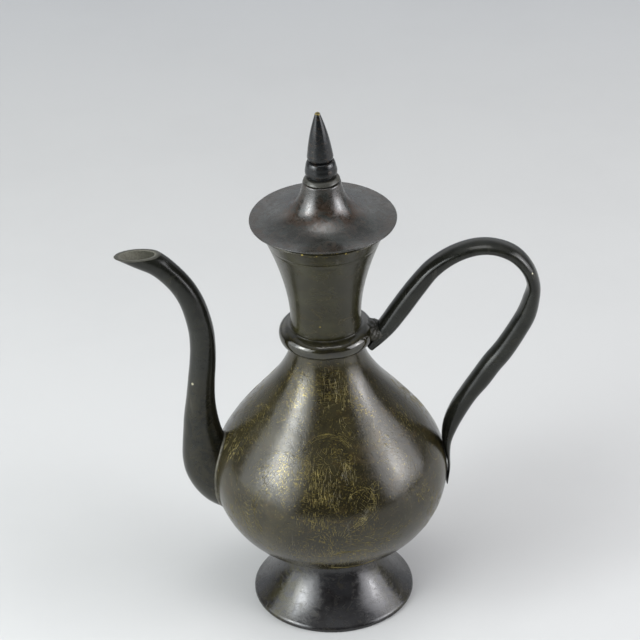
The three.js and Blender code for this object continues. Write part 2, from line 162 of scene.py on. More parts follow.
def outOfTrue(radius, height, angle, waver, seed, waves=5):
    # A hand-made round: the radius changes by a sum of slow waves round and up the piece.
    phase = np.random.default_rng(seed).uniform(0, 2 * np.pi, waves + 1)
    wave = sum(np.sin((k + 2) * angle + phase[k] + height / (9 + 4 * k)) / (k + 1.5) for k in range(waves))
    return radius + waver * wave * np.clip(radius / 8, 0, 1)


def turnedGrid(outline, columns, waver=0.0, seed=0):
    # Turns (radius, height) about Z: x = r sin a, y = -r cos a.
    angle = ringAngles(columns)
    height = np.repeat(outline[:, 1:], columns, 1)
    radius = outOfTrue(np.repeat(outline[:, :1], columns, 1), height, angle, waver, seed)
    points = np.stack([radius * np.sin(angle), -radius * np.cos(angle), height], -1)
    return points, flowAlong(lengthAlong(outline), angle)


def splineThrough(stations, t):
    # Centripetal Catmull-Rom through rows whose first two numbers are x and z. The other numbers
    # ride along. t runs from 0 to 1 by row.
    rows = np.asarray(stations, float)
    padded = np.vstack([2 * rows[0] - rows[1], rows, 2 * rows[-1] - rows[-2]])
    place = np.clip(t, 0, 1) * (len(rows) - 1)
    first = np.minimum(place.astype(int), len(rows) - 2)
    w = (place - first)[:, None]
    p0, p1, p2, p3 = (padded[first + k] for k in range(4))
    sides = ((p0, p1), (p1, p2), (p2, p3))
    d0, d1, d2 = (np.sqrt(np.linalg.norm((b - a)[:, :2], axis=1))[:, None] for a, b in sides)
    m1 = ((p1 - p0) / d0 - (p2 - p0) / (d0 + d1) + (p2 - p1) / d1) * d1
    m2 = ((p2 - p1) / d1 - (p3 - p1) / (d1 + d2) + (p3 - p2) / d2) * d1
    return p1 + m1 * w + (3 * (p2 - p1) - 2 * m1 - m2) * w ** 2 + (2 * (p1 - p2) + m1 + m2) * w ** 3


def sweptGrid(stations, t, sizeAt, columns, corner=1.0, nudge=1e-4):
    # Carries an oval along a curve in the XZ plane. At t the section is
    # centre + inPlane * thick * sgn(cos)|cos|^(1/corner) + Y * wide * sgn(sin)|sin|^(1/corner).
    line = splineThrough(stations, t)
    after, before = (splineThrough(stations, np.clip(t + way, 0, 1))[:, :2] for way in (nudge, -nudge))
    ahead = after - before
    ahead /= np.linalg.norm(ahead, axis=1)[:, None]
    inPlane = np.stack([ahead[:, 1], -ahead[:, 0]], 1)
    thick, wide = sizeAt(t, line)
    angle = ringAngles(columns)
    u = np.sign(np.cos(angle)) * np.abs(np.cos(angle)) ** (1 / corner)
    v = np.sign(np.sin(angle)) * np.abs(np.sin(angle)) ** (1 / corner)
    x = line[:, :1] + inPlane[:, :1] * thick[:, None] * u
    z = line[:, 1:2] + inPlane[:, 1:2] * thick[:, None] * u
    return np.stack([x, wide[:, None] * v, z], -1)


def setInputs(tree, node, inputs):
    for label, value in inputs.items():
        if isinstance(value, bpy.types.NodeSocket):
            tree.links.new(value, node.inputs[label])
        else:
            node.inputs[label].default_value = value


def addNode(tree, kind, inputs=None, **values):
    node = tree.nodes.new(kind)
    for label, value in values.items():
        setattr(node, label, value)
    setInputs(tree, node, inputs or {})
    return node


def calc(tree, operation, first, second):
    return addNode(tree, "ShaderNodeMath", {0: first, 1: second}, operation=operation).outputs[0]


def plus(tree, first, second):
    return calc(tree, "ADD", first, second)


def times(tree, first, second):
    return calc(tree, "MULTIPLY", first, second)


def blend(tree, share, first, second):
    first, second = ((*colour, 1) if isinstance(colour, tuple) else colour for colour in (first, second))
    node = addNode(tree, "ShaderNodeMix", data_type="RGBA")
    setInputs(tree, node, {0: share, 6: first, 7: second})
    return node.outputs[2]


def step(tree, value, cut, bottom=0.0, top=1.0):
    # Rises smoothly from bottom to top while the value passes through the cut.
    inputs = {0: value, 1: cut[0], 2: cut[1], 3: bottom, 4: top}
    return addNode(tree, "ShaderNodeMapRange", inputs, interpolation_type="SMOOTHSTEP").outputs[0]


# Noises: cells to a metre, detail, roughness, distortion, and how the pattern is squeezed. The
# cells of broad and cloud are divided by the size of a blotch in millimetres.
noises = {
    "broad": (1000, 5, 0.6, 0.8, None),
    "cloud": (2600, 6, 0.65, 1.4, (1, 1, 1.7)),
    "fine": (1400, 3, 0.6, 0, None),
    "seep": (170, 6, 0.7, 1.2, None),
    "broken": (900, 4, 0.7, 0.6, None),
    "upright": (1800, 2, 0.6, 0.9, (1, 1, 0.3)),
    "level": (1800, 2, 0.6, 0.9, (0.45, 0.45, 1.2)),
    "crossing": (75, 3, 0.55, 0, None),
    "patchy": (130, 4, 0.6, 0.5, None),
    "scratch": (420, 2, 0.5, 0.3, (1, 0.3, 0.12)),
    "linePatches": (95, 4, 0.6, 0.6, None),
    "lineCrumbs": (1500, 3, 0.7, 0, None),
    "lineTone": (300, 3, 0.6, 0, None),
    "floor": (9, 5, 0.6, 0, None),
}
# Where each noise or mark starts to show, and where it shows in full.
cuts = {"main": (0.38, 0.66), "warm": (0.5, 0.72), "pits": (0.45, 0.75), "seep": (0.4, 0.58),
        "dust": (0.3, 0.6), "bare": (0.86, 1.0), "nickAndGlint": (0.3, 0.6), "crossing": (0.47, 0.53),
        "patchy": (0.32, 0.66), "fleck": (0.655, 0.73), "scratch": (0.68, 0.75), "gloss": (0.32, 0.7)}
shares = {"pits": 0.35, "wear": 0.55, "field": 0.13, "fleck": 0.8, "roughPits": 0.04, "roughDust": 0.3,
          "roughBare": 0.06, "bareMetal": 0.6}


def noise(tree, vector, kind, size=1.0):
    scale, detail, rough, twist, squeeze = noises[kind]
    if squeeze:
        vector = addNode(tree, "ShaderNodeMapping", {"Vector": vector, "Scale": squeeze}).outputs[0]
    inputs = {"Vector": vector, "Scale": scale / size, "Detail": detail, "Roughness": rough,
              "Distortion": twist}
    return addNode(tree, "ShaderNodeTexNoise", inputs).outputs[0]


def grainLines(tree, perMillimetre):
    # Fine marks across the length of the piece, from its own grain coordinates.
    flow = addNode(tree, "ShaderNodeAttribute", attribute_name="grain").outputs["Vector"]
    flow = addNode(tree, "ShaderNodeMapping", {"Vector": flow, "Scale": (perMillimetre, 0.12, 0.12)})
    inputs = {"Vector": flow.outputs[0], "Scale": 1.0, "Detail": 3, "Roughness": 0.6, "Distortion": 0}
    return addNode(tree, "ShaderNodeTexNoise", inputs).outputs[0]


def mark(tree, name):
    return addNode(tree, "ShaderNodeAttribute", attribute_name=name).outputs["Fac"]


def newMaterial(name):
    material = bpy.data.materials.new(name)
    material.use_nodes = True
    tree = material.node_tree
    place = addNode(tree, "ShaderNodeTexCoord").outputs["Object"]
    return material, tree, tree.nodes["Principled BSDF"], place


def bumped(tree, height, distance, strength=1.0):
    inputs = {"Strength": strength, "Distance": distance, "Height": height}
    return addNode(tree, "ShaderNodeBump", inputs).outputs[0]


def flecks(tree, place):
    # Upright dashes in some patches and level ones in the others, thicker where the mark is high.
    upright, level = noise(tree, place, "upright"), noise(tree, place, "level")
    which = step(tree, noise(tree, place, "crossing"), cuts["crossing"])
    dashes = plus(tree, upright, times(tree, calc(tree, "SUBTRACT", level, upright), which))
    patchy = step(tree, noise(tree, place, "patchy"), cuts["patchy"], 0.25)
    amount = times(tree, times(tree, mark(tree, "field"), patchy), shares["field"])
    return dashes, times(tree, step(tree, plus(tree, dashes, amount), cuts["fleck"]), shares["fleck"])


def patina(name, look):
    # Dark brass: two blotch noises mix three colours, fine grain lines and pits go to the bump,
    # and noise wears it through to bare brass where the "wear" mark is high.
    material, tree, shader, place = newMaterial(name)
    broad, cloud = (noise(tree, place, kind, look["blotch"]) for kind in ("broad", "cloud"))
    fine = noise(tree, place, "fine")
    colour = blend(tree, step(tree, broad, cuts["main"]), look["deep"], look["main"])
    colour = blend(tree, step(tree, cloud, cuts["warm"], 0, look["warmth"]), colour, look["warm"])
    colour = blend(tree, step(tree, fine, cuts["pits"], 0, shares["pits"]), colour, look["deep"])
    seep = step(tree, noise(tree, place, "seep"), cuts["seep"])
    colour = blend(tree, times(tree, mark(tree, "stain"), seep), colour, look["rust"])
    dusty = mark(tree, "dusty")
    colour = blend(tree, times(tree, dusty, step(tree, fine, cuts["dust"], 0.6)), colour, look["dust"])
    worn = plus(tree, times(tree, mark(tree, "wear"), shares["wear"]), noise(tree, place, "broken"))
    # Bare brass from the nick mark: real nicks, and painted glints on the front of the neck rim.
    nickAndGlint = step(tree, mark(tree, "nickAndGlint"), cuts["nickAndGlint"])
    bare = calc(tree, "MAXIMUM", step(tree, worn, cuts["bare"]), nickAndGlint)
    if look["flecked"]:
        lines, small = flecks(tree, place)
        bare = calc(tree, "MAXIMUM", bare, small)
    else:
        lines = grainLines(tree, look["lines"])
    scratched = times(tree, step(tree, noise(tree, place, "scratch"), cuts["scratch"]), look["scratches"])
    colour = blend(tree, scratched, colour, look["pale"])
    rough = step(tree, cloud, cuts["gloss"], *look["gloss"])
    for part, share in ((fine, "roughPits"), (dusty, "roughDust"), (bare, "roughBare")):
        rough = plus(tree, rough, times(tree, part, shares[share]))
    height = plus(tree, times(tree, lines, look["lineDepth"]), times(tree, fine, look["pitDepth"]))
    height = plus(tree, height, times(tree, broad, look["dentDepth"]))
    setInputs(tree, shader, {
        "Base Color": blend(tree, bare, colour, look["brass"]), "Roughness": rough,
        "Metallic": step(tree, bare, (0, 1), look["metal"], shares["bareMetal"]),
        "Normal": bumped(tree, height, millimetre), "IOR": look["ior"],
    })
    return material


def wornLine(name, look):
    # Bare brass in the engraved lines, which noise hides under the dark finish here and there.
    material, tree, shader, place = newMaterial(name)
    patches, crumbs = noise(tree, place, "linePatches"), noise(tree, place, "lineCrumbs")
    shown = step(tree, plus(tree, patches, times(tree, crumbs, look["crumbs"])), look["shown"])
    tone = blend(tree, step(tree, noise(tree, place, "lineTone"), look["tone"]), look["dull"], look["bright"])
    setInputs(tree, shader, {
        "Base Color": blend(tree, shown, look["hidden"], tone),
        "Metallic": step(tree, shown, (0, 1), *look["metal"]),
        "Roughness": step(tree, crumbs, (0.3, 0.7), *look["gloss"]),
        "Normal": bumped(tree, crumbs, look["depth"] * millimetre, 0.6),
    })
    return material


# Colours are linear. blotch is the size of a patch in millimetres; lines is how many turning marks
# there are to a millimetre, and the depths are in millimetres.
common = {
    "brass": (0.31, 0.24, 0.062), "pale": (0.11, 0.105, 0.085), "dust": (0.17, 0.165, 0.13),
    "rust": (0.045, 0.021, 0.008), "metal": 0.2, "ior": 1.55, "scratches": 0.25, "lines": 2.2,
    "lineDepth": 0.008, "pitDepth": 0.005, "dentDepth": 0.1, "flecked": False,
}
bodyLook = {
    **common, "deep": (0.019, 0.016, 0.007), "main": (0.038, 0.033, 0.016), "warm": (0.048, 0.033, 0.011),
    "brass": (0.2, 0.158, 0.045), "warmth": 0.7, "blotch": 26, "gloss": (0.13, 0.21), "flecked": True,
    "lineDepth": 0.045, "dentDepth": 0.22,
}
neckLook = {
    **common, "deep": (0.019, 0.017, 0.007), "main": (0.034, 0.032, 0.014), "warm": (0.043, 0.034, 0.009),
    "warmth": 0.6, "blotch": 18, "gloss": (0.16, 0.26), "ior": 1.47,
}
collarLook = {
    **neckLook, "deep": (0.012, 0.011, 0.006), "main": (0.025, 0.023, 0.011), "warmth": 0.9, "blotch": 7,
    "gloss": (0.05, 0.11), "ior": 1.72, "dentDepth": 0.05,
}
footLook = {
    **common, "deep": (0.011, 0.01, 0.01), "main": (0.022, 0.022, 0.023), "warm": (0.027, 0.022, 0.011),
    "rust": (0.036, 0.031, 0.008), "warmth": 0.6, "blotch": 13, "gloss": (0.13, 0.31), "ior": 1.65,
    "scratches": 0.1, "lineDepth": 0.012,
}
barLook = {
    **common, "deep": (0.009, 0.0095, 0.007), "main": (0.018, 0.019, 0.015), "warm": (0.03, 0.028, 0.015),
    "rust": (0.034, 0.03, 0.017), "brass": (0.4, 0.38, 0.27), "warmth": 0.5, "blotch": 14,
    "gloss": (0.15, 0.25), "ior": 1.45, "scratches": 0.15, "lines": 0.4, "lineDepth": 0.004,
    "pitDepth": 0.002, "dentDepth": 0.06,
}
lidLook = {
    **common, "deep": (0.013, 0.013, 0.01), "main": (0.03, 0.033, 0.029), "warm": (0.04, 0.026, 0.015),
    "rust": (0.034, 0.018, 0.008), "warmth": 0.9, "blotch": 10, "gloss": (0.15, 0.38), "ior": 1.8,
    "scratches": 0.1, "lineDepth": 0.012,
}
finialLook = {
    **lidLook, "deep": (0.008, 0.009, 0.009), "main": (0.017, 0.019, 0.02), "gloss": (0.15, 0.27),
    "ior": 1.45,
}
brazeLook = {
    **common, "deep": (0.04, 0.036, 0.025), "main": (0.1, 0.095, 0.07), "warm": (0.16, 0.13, 0.065),
    "warmth": 0.6, "blotch": 3, "gloss": (0.34, 0.5), "pitDepth": 0.05, "dentDepth": 0.3,
}
solderLook = {
    **brazeLook, "deep": (0.014, 0.013, 0.009), "main": (0.036, 0.034, 0.024), "warm": (0.1, 0.085, 0.05),
    "warmth": 0.5, "blotch": 2.5, "pitDepth": 0.03, "dentDepth": 0.2,
}
brassLook = {
    **common, "deep": (0.12, 0.085, 0.033), "main": (0.3, 0.22, 0.09), "warm": (0.2, 0.13, 0.05),
    "warmth": 0.6, "blotch": 7, "gloss": (0.28, 0.42), "metal": 0.9,
}
lineLook = {
    "shown": (0.7, 0.9), "dull": (0.125, 0.1, 0.026), "bright": (0.26, 0.21, 0.06), "tone": (0.35, 0.65),
    "hidden": (0.05, 0.043, 0.025), "metal": (0.5, 0.45), "gloss": (0.25, 0.45), "crumbs": 0.7, "depth": 0.03,
}
engravedBrass = patina("engravedBrass", bodyLook)
engravedLine = wornLine("engravedLine", lineLook)
neckPatina = patina("neckPatina", neckLook)
footPatina = patina("footPatina", footLook)
collarPatina = patina("collarPatina", collarLook)
barPatina = patina("barPatina", barLook)
lidPatina = patina("lidPatina", lidLook)
finialPatina = patina("finialPatina", finialLook)
brazeMetal = patina("brazeMetal", brazeLook)
solderMetal = patina("solderMetal", solderLook)
bareBrass = patina("bareBrass", brassLook)
print("materials made")

bodyPart = {"neckRadius": 15.7, "wall": 1.2, "columns": 300, "rows": 150, "waver": 0.12, "seed": 3,
            "samples": 400}
bowlLow, bowlHigh = boxOf("lower_bowl")
bellyRadius = (bowlHigh[0] - bowlLow[0]) / 2
bellyHeight, bodyBottom = bowlHigh[2], bowlLow[2]
bodyTop = boxOf("upper_bowl")[1][2]


def bodyRadius(height):
    # Below the belly, half an ellipse; above it, neck + (belly - neck) * cos^2 of the share.
    drop = np.clip((bellyHeight - height) / (bellyHeight - bodyBottom), 0, 1)
    share = np.clip((height - bellyHeight) / (bodyTop - bellyHeight), 0, 1)
    upper = bodyPart["neckRadius"] + (bellyRadius - bodyPart["neckRadius"]) * np.cos(share * np.pi / 2) ** 2
    return np.where(height <= bellyHeight, bellyRadius * np.sqrt(1 - drop ** 2), upper)


def bodyOutline(inset, rows):
    # Evenly spaced along its own length, from the middle of the bottom to the top.
    angle = np.linspace(0.001, np.pi / 2, bodyPart["samples"])
    depth = bellyHeight - bodyBottom - inset
    low = np.stack([(bellyRadius - inset) * np.sin(angle), bellyHeight - depth * np.cos(angle)], 1)
    height = np.linspace(bellyHeight, bodyTop, bodyPart["samples"])[1:]
    high = offsetLine(np.stack([bodyRadius(height), height], 1), -inset)
    line = np.vstack([low, high])
    line[-1, 1] = bodyTop
    run = lengthAlong(line)
    even = np.linspace(0, run[-1], rows)
    return np.stack([np.interp(even, run, line[:, 0]), np.interp(even, run, line[:, 1])], 1)


# The engraving: each motif has its kind, its middle as an angle from the front in degrees (left is
# negative) and a height in millimetres, how it leans in degrees, and its own sizes in millimetres.
engraving = [
    ("band", -1, 98, 0, dict(radius=11, start=25, finish=165, thick=1.8, count=95, length=2.6)),
    ("band", 15, 81, 0, dict(radius=6.5, start=-75, finish=115, thick=1.7, count=75, length=2.4)),
    ("band", 2, 84, 0, dict(radius=16, start=-62, finish=-20, thick=2.2, count=70, length=3)),
    ("band", -22, 74, 0, dict(radius=17, start=150, finish=222, thick=2.4, count=80, length=2.6)),
    ("band", -38, 121, 0, dict(radius=7.5, start=35, finish=170, thick=1.1, count=60, length=2.2)),
    ("band", -66, 97, 0, dict(radius=7, start=20, finish=160, thick=1.1, count=50, length=2.4)),
    ("band", -66, 103, 0, dict(radius=8, start=30, finish=150, thick=1.1, count=50, length=2.4)),
    ("band", -30, 92, 0, dict(radius=9, start=60, finish=250, thick=1.6, count=80, length=2.2)),
    ("band", 10, 60, 0, dict(radius=22, start=245, finish=300, thick=1.8, count=80, length=3)),
    ("band", 8, 40, 0, dict(radius=20, start=50, finish=120, thick=1.6, count=60, length=2.8)),
    ("arcs", -1, 98, 0, dict(radius=11.5, start=20, finish=172, pieces=9)),
    ("arcs", -1, 98, 0, dict(radius=10.3, start=70, finish=150, pieces=5)),
    ("rosette", -1, 98, 10, dict(radius=7.5, petals=7)),
    ("hatch", -15, 97, 80, dict(count=60, wide=7, tall=9, length=2.6)),
    ("hatch", -6, 90, 88, dict(count=85, wide=10, tall=9, length=2.8)),
    ("hatch", 9, 94, 84, dict(count=45, wide=5, tall=9, length=2.6)),
    ("hatch", -2, 83, 90, dict(count=70, wide=15, tall=5, length=2.2)),
    ("leaf", 20, 80, 60, dict(length=22, bulge=4.2, veins=9)),
    ("leaf", 15, 73, 28, dict(length=20, bulge=2.6, veins=10)),
    ("hatch", -5, 74, 88, dict(count=60, wide=13, tall=6, length=2.6)),
    ("hatch", -22, 56, 75, dict(count=60, wide=18, tall=9, length=2.2)),
    ("hatch", 20, 51, 120, dict(count=60, wide=20, tall=8, length=2.4)),
    ("hatch", 0, 47, 90, dict(count=60, wide=22, tall=7, length=2.2)),
    ("scroll", 24, 56, 20, dict(radius=6, turns=1.4, pieces=9)),
    ("leaf", -14, 50, 150, dict(length=16, bulge=2.6, veins=7)),
    ("hatch", -52, 66, 110, dict(count=60, wide=14, tall=18, length=2)),
    ("hatch", 60, 62, 60, dict(count=50, wide=14, tall=14, length=2)),
    ("arcs", 9, 52, 0, dict(radius=15, start=35, finish=100, pieces=6)),
    ("arcs", 12, 46, 0, dict(radius=17, start=50, finish=115, pieces=6)),
    ("fan", -3, 52, 90, dict(count=15, inner=3.5, outer=9, spread=130)),
    ("fan", 2, 63, 80, dict(count=13, inner=4, outer=8.5, spread=150)),
    ("scroll", -31, 90, 0, dict(radius=7.5, turns=1.7, pieces=13)),
    ("scroll", -24, 82, 150, dict(radius=5, turns=-1.4, pieces=9)),
    ("hatch", -37, 88, 60, dict(count=70, wide=12, tall=10, length=2.2)),
    ("leaf", -43, 72, 100, dict(length=24, bulge=3.4, veins=9)),
    ("leaf", -40, 56, 140, dict(length=16, bulge=2.6, veins=7)),
    ("arcs", -38, 121, 0, dict(radius=8, start=40, finish=170, pieces=7)),
    ("hatch", -40, 119, 110, dict(count=80, wide=9, tall=17, length=1.7)),
    ("leaf", -35, 128, 30, dict(length=13, bulge=2, veins=5)),
    ("scales", -66, 101, 0, dict(rows=5, across=4, radius=2.8)),
    ("hatch", -60, 108, 120, dict(count=60, wide=9, tall=17, length=1.9)),
    ("hatch", -68, 90, 100, dict(count=40, wide=9, tall=9, length=2.0)),
    ("arcs", -4, 100, 0, dict(radius=27, start=68, finish=112, pieces=8)),
    ("hatch", -4, 124, 2, dict(count=60, wide=15, tall=12, length=3.0)),
    ("hatch", -4, 124, 90, dict(count=60, wide=15, tall=12, length=3.0)),
    ("hatch", 14, 121, 84, dict(count=36, wide=5, tall=12, length=2.2)),
    ("leaf", 15, 108, 115, dict(length=12, bulge=1.6, veins=4)),
    ("hatch", 34, 118, 118, dict(count=60, wide=5, tall=16, length=1.7)),
    ("leaf", 33, 113, 100, dict(length=22, bulge=2.2, veins=8)),
    ("hatch", 42, 98, 140, dict(count=60, wide=11, tall=10, length=1.7)),
    ("leaf", 48, 84, 62, dict(length=18, bulge=3.2, veins=8)),
    ("leaf", 54, 74, 128, dict(length=18, bulge=2.6, veins=8)),
    ("hatch", 52, 78, 30, dict(count=60, wide=14, tall=11, length=2.3)),
    ("hatch", 68, 102, 70, dict(count=80, wide=9, tall=20, length=1.6)),
    ("scroll", 74, 84, 40, dict(radius=6, turns=1.6, pieces=11)),
    ("hatch", 30, 62, 20, dict(count=40, wide=16, tall=6, length=2.6)),
]
# The sides and the back carry a running vine: scrolls and leaves in turn, with hatching between.
vineRound = range(98, 262, 27)
for number, around in enumerate(vineRound):
    flip = 1 if number % 2 else -1
    engraving += [
        ("scroll", around, 90 + 4 * flip, 90 * flip, dict(radius=8.5, turns=1.7 * flip, pieces=13)),
        ("leaf", around + 12, 84 - 6 * flip, 40 * flip, dict(length=20, bulge=3.6, veins=9)),
        ("leaf", around + 8, 108 + 3 * flip, 80 - 30 * flip, dict(length=16, bulge=2.6, veins=7)),
        ("hatch", around + 3, 100, 80 + 20 * flip, dict(count=70, wide=12, tall=16, length=2.2)),
        ("hatch", around + 13, 70, 90, dict(count=60, wide=12, tall=9, length=2.4)),
        ("rosette", around + 14, 64, 15, dict(radius=6, petals=6)),
    ]
linePart = {"points": 7, "width": (0.13, 0.3), "proud": 0.035, "sunk": 0.05, "kept": 0.88, "dense": 1.7,
            "seed": 29, "taper": 0.12, "scatter": 2.6, "hatchLengths": (0.4, 1.3), "bandLengths": (0.5, 1.3),
            "slant": 0.16, "sag": 0.12, "fleckReach": 0.75, "leastReach": 5, "fleckAmount": 0.4}


def turnedBy(points, degrees):
    a = math.radians(degrees)
    return points @ np.array([[math.cos(a), math.sin(a)], [-math.sin(a), math.cos(a)]])


def onCircle(radius, angle):
    return np.stack([radius * np.cos(angle), radius * np.sin(angle)], -1)


def brokenLine(points, pieces, gap=0.07):
    # Cuts one long line into pieces with small gaps between them.
    total = len(points)
    strokes = []
    for k in range(pieces):
        place = np.linspace(k / pieces, (k + 1 - gap) / pieces, linePart["points"]) * (total - 1)
        strokes.append(np.stack([np.interp(place, np.arange(total), points[:, c]) for c in (0, 1)], -1))
    return np.array(strokes)


def hatch(draw, count, wide, tall, length, lean):
    # Short strokes that lean one way, scattered in an oval of the given size about the middle.
    count = int(count * linePart["dense"])
    middle = draw.normal(size=(count, 1, 2)) * (wide / linePart["scatter"], tall / linePart["scatter"])
    lengths = length * draw.uniform(*linePart["hatchLengths"], (count, 1))
    along = np.linspace(-0.5, 0.5, linePart["points"]) * lengths
    slant = draw.normal(0, linePart["slant"], (count, 1))
    sag = draw.normal(0, linePart["sag"], (count, 1)) * (along ** 2) / length
    return middle + turnedBy(np.stack([along * np.cos(slant), along * np.sin(slant) + sag], -1), lean)


def arcs(draw, radius, start, finish, pieces, samples=200):
    return brokenLine(onCircle(radius, np.radians(np.linspace(start, finish, samples))), pieces)


def band(draw, radius, start, finish, thick, count, length):
    # Short strokes that follow an arc, scattered across its thickness.
    a = np.radians(draw.uniform(start, finish, (count, 1)))
    reach = radius + draw.normal(0, thick / 2.5, (count, 1))
    lengths = length * draw.uniform(*linePart["bandLengths"], (count, 1))
    return onCircle(reach, a + np.linspace(-0.5, 0.5, linePart["points"]) * lengths / radius)


def scroll(draw, radius, turns, pieces, fall=0.85, samples=300):
    # A spiral whose radius falls evenly by a share of itself.
    share = np.linspace(0, 1, samples)
    return brokenLine(onCircle(radius * (1 - fall * share), 2 * np.pi * turns * share), pieces)


def leaf(draw, length, bulge, veins, samples=120):
    # Two bowed sides, a midrib, and veins that slant from the midrib to the sides.
    t = np.linspace(-1, 1, samples)
    bow = bulge * (1 - t ** 2) * (1.15 - 0.3 * t)
    curve = 0.06 * length * (1 - t ** 2)
    parts = [brokenLine(np.stack([t * length / 2, curve + sign * bow], -1), 5) for sign in (1, -1)]
    parts.append(brokenLine(np.stack([t * length / 2, curve], -1), 4))
    share = np.linspace(0, 0.85, linePart["points"])
    at = np.linspace(-0.75, 0.7, veins)[:, None] + 0.13 * share
    for sign in (1, -1):
        height = (0.06 * length + sign * bulge * share) * (1 - at ** 2)
        parts.append(np.stack([at * length / 2, height], -1))
    return np.vstack(parts)


def rosette(draw, radius, petals, samples=400):
    # Petals round a small ring: the outline's radius rises and falls with sin(petals * a / 2)^2.
    a = np.linspace(0, 2 * np.pi, samples)
    outer = brokenLine(onCircle(radius * (0.35 + 0.65 * np.sin(petals * a / 2) ** 2), a), petals * 3)
    return np.vstack([outer, brokenLine(onCircle(radius * 0.25, a), 4)])


def fan(draw, count, inner, outer, spread):
    a = np.radians(np.linspace(-spread / 2, spread / 2, count))[:, None]
    share = np.linspace(0, 1, linePart["points"])[None] * draw.uniform(0.6, 1, (count, 1))
    return onCircle(inner + (outer - inner) * share, a)


def scales(draw, rows, across, radius):
    one = onCircle(radius, np.linspace(0.1 * np.pi, 0.9 * np.pi, linePart["points"]))
    row, column = np.divmod(np.arange(rows * across), across)
    middle = np.stack([(column - across / 2 + 0.5 * (row % 2)) * 2 * radius, (row - rows / 2) * radius], -1)
    return middle[:, None] + one


motifs = {"hatch": hatch, "arcs": arcs, "band": band, "scroll": scroll, "leaf": leaf, "rosette": rosette,
          "fan": fan, "scales": scales}


def engravedStrokes(draw, line, run):
    # Every stroke as points (angle round from the front, millimetres up the side of the body),
    # each measured on the surface from its motif's own middle.
    places, ups = [], []
    for kind, around, height, lean, sizes in engraving:
        if kind == "hatch":
            strokes = hatch(draw, **sizes, lean=lean)
        else:
            strokes = turnedBy(motifs[kind](draw, **sizes), lean)
        strokes = strokes[draw.random(len(strokes)) < linePart["kept"]]
        up = np.interp(height, line[:, 1], run) + strokes[..., 1]
        places.append(np.radians(around) + strokes[..., 0] / np.interp(up, run, line[:, 0]))
        ups.append(up)
    return np.vstack(places), np.vstack(ups)


def fleckField(points):
    # How thick the worn flecks lie: soft round patches about the motifs.
    total = np.zeros(points.shape[:2])
    for kind, around, height, lean, sizes in engraving:
        widest = (sizes.get("wide", 0), sizes.get("radius", 0) * 1.2, sizes.get("length", 0) / 2.5)
        spread = max(*widest, linePart["leastReach"]) * linePart["fleckReach"]
        tall = spread
        if kind == "hatch":
            tall = max(sizes["tall"] * linePart["fleckReach"], linePart["leastReach"])
        across = np.radians((degreesRound(points) - around + 180) % 360 - 180) * radiusOf(points)
        away = (across / spread) ** 2 + ((points[..., 2] - height) / tall) ** 2
        total += linePart["fleckAmount"] * np.exp(-away)
    return np.clip(total, 0, 1)


def makeEngraving():
    # Each stroke is a sliver of brass with a low ridge: left, middle and right lines, closed below.
    # The lines are set off sideways on the surface by half the width, then along its normal.
    draw = np.random.default_rng(linePart["seed"])
    line = bodyOutline(0, 3000)
    run = lengthAlong(line)
    angle, up = engravedStrokes(draw, line, run)
    count, each = angle.shape
    taper = np.sin(np.linspace(linePart["taper"], np.pi - linePart["taper"], each)) ** 0.6
    width = draw.uniform(*linePart["width"], (count, 1)) * taper
    radius = np.interp(up, run, line[:, 0])
    alongAngle, alongUp = np.gradient(angle, axis=1) * radius, np.gradient(up, axis=1)
    length = np.hypot(alongAngle, alongUp) + 1e-9
    sideways, upward = -alongUp / length, alongAngle / length
    rows = []
    for sign, lift in ((-1, -linePart["sunk"]), (0, linePart["proud"]), (1, -linePart["sunk"])):
        a = angle + sign * sideways * width / 2 / radius
        u = up + sign * upward * width / 2
        (r, z), (nextR, nextZ) = ([np.interp(at, run, line[:, k]) for k in (0, 1)] for at in (u, u + 0.2))
        slopeR, slopeZ = nextR - r, nextZ - z
        size = np.hypot(slopeR, slopeZ) + 1e-9
        r = outOfTrue(r, z, a, bodyPart["waver"], bodyPart["seed"]) + lift * slopeZ / size
        rows.append(np.stack([r * np.sin(a), -r * np.cos(a), z - lift * slopeR / size], -1))
    coords = np.stack(rows, 2).reshape(-1, 3)
    start = np.arange(count)[:, None] * each * 3
    last = (each - 1) * 3
    first = (start + np.arange(0, last, 3)[None]).reshape(-1, 1)
    quads = np.vstack([first + np.array([a, b, b + 3, a + 3]) for a, b in ((0, 1), (1, 2), (2, 0))])
    ends = np.vstack([start + np.array([2, 1, 0]), start + last + np.array([0, 1, 2])])
    corner = np.cross(coords[quads[:, 1]] - coords[quads[:, 0]], coords[quads[:, 3]] - coords[quads[:, 0]])
    outward = (corner[:len(first)] * coords[quads[:len(first), 0]]).sum(1).mean()
    if outward < 0:
        quads, ends = quads[:, ::-1], ends[:, ::-1]
    mesh = bpy.data.meshes.new("bodyEngraving")
    mesh.from_pydata((coords * millimetre).tolist(), [], quads.tolist() + ends.tolist())
    addPiece("bodyEngraving", mesh, "pot", engravedLine)
    print("engraved strokes:", count)


def makeBody():
    outer = bodyOutline(0, bodyPart["rows"])
    inner = bodyOutline(bodyPart["wall"], bodyPart["rows"] // 3)[::-1]
    outline = np.vstack([outer, inner])
    points, grain = turnedGrid(outline, bodyPart["columns"], bodyPart["waver"], bodyPart["seed"])
    field = fleckField(points)
    field[bodyPart["rows"]:] = 0
    gridPiece("bodyShell", points, "pot", engravedBrass, ("lower_bowl", "upper_bowl"),
              loop=False, grain=grain, marks={"field": field})


makeBody()
makeEngraving()
print("body made")

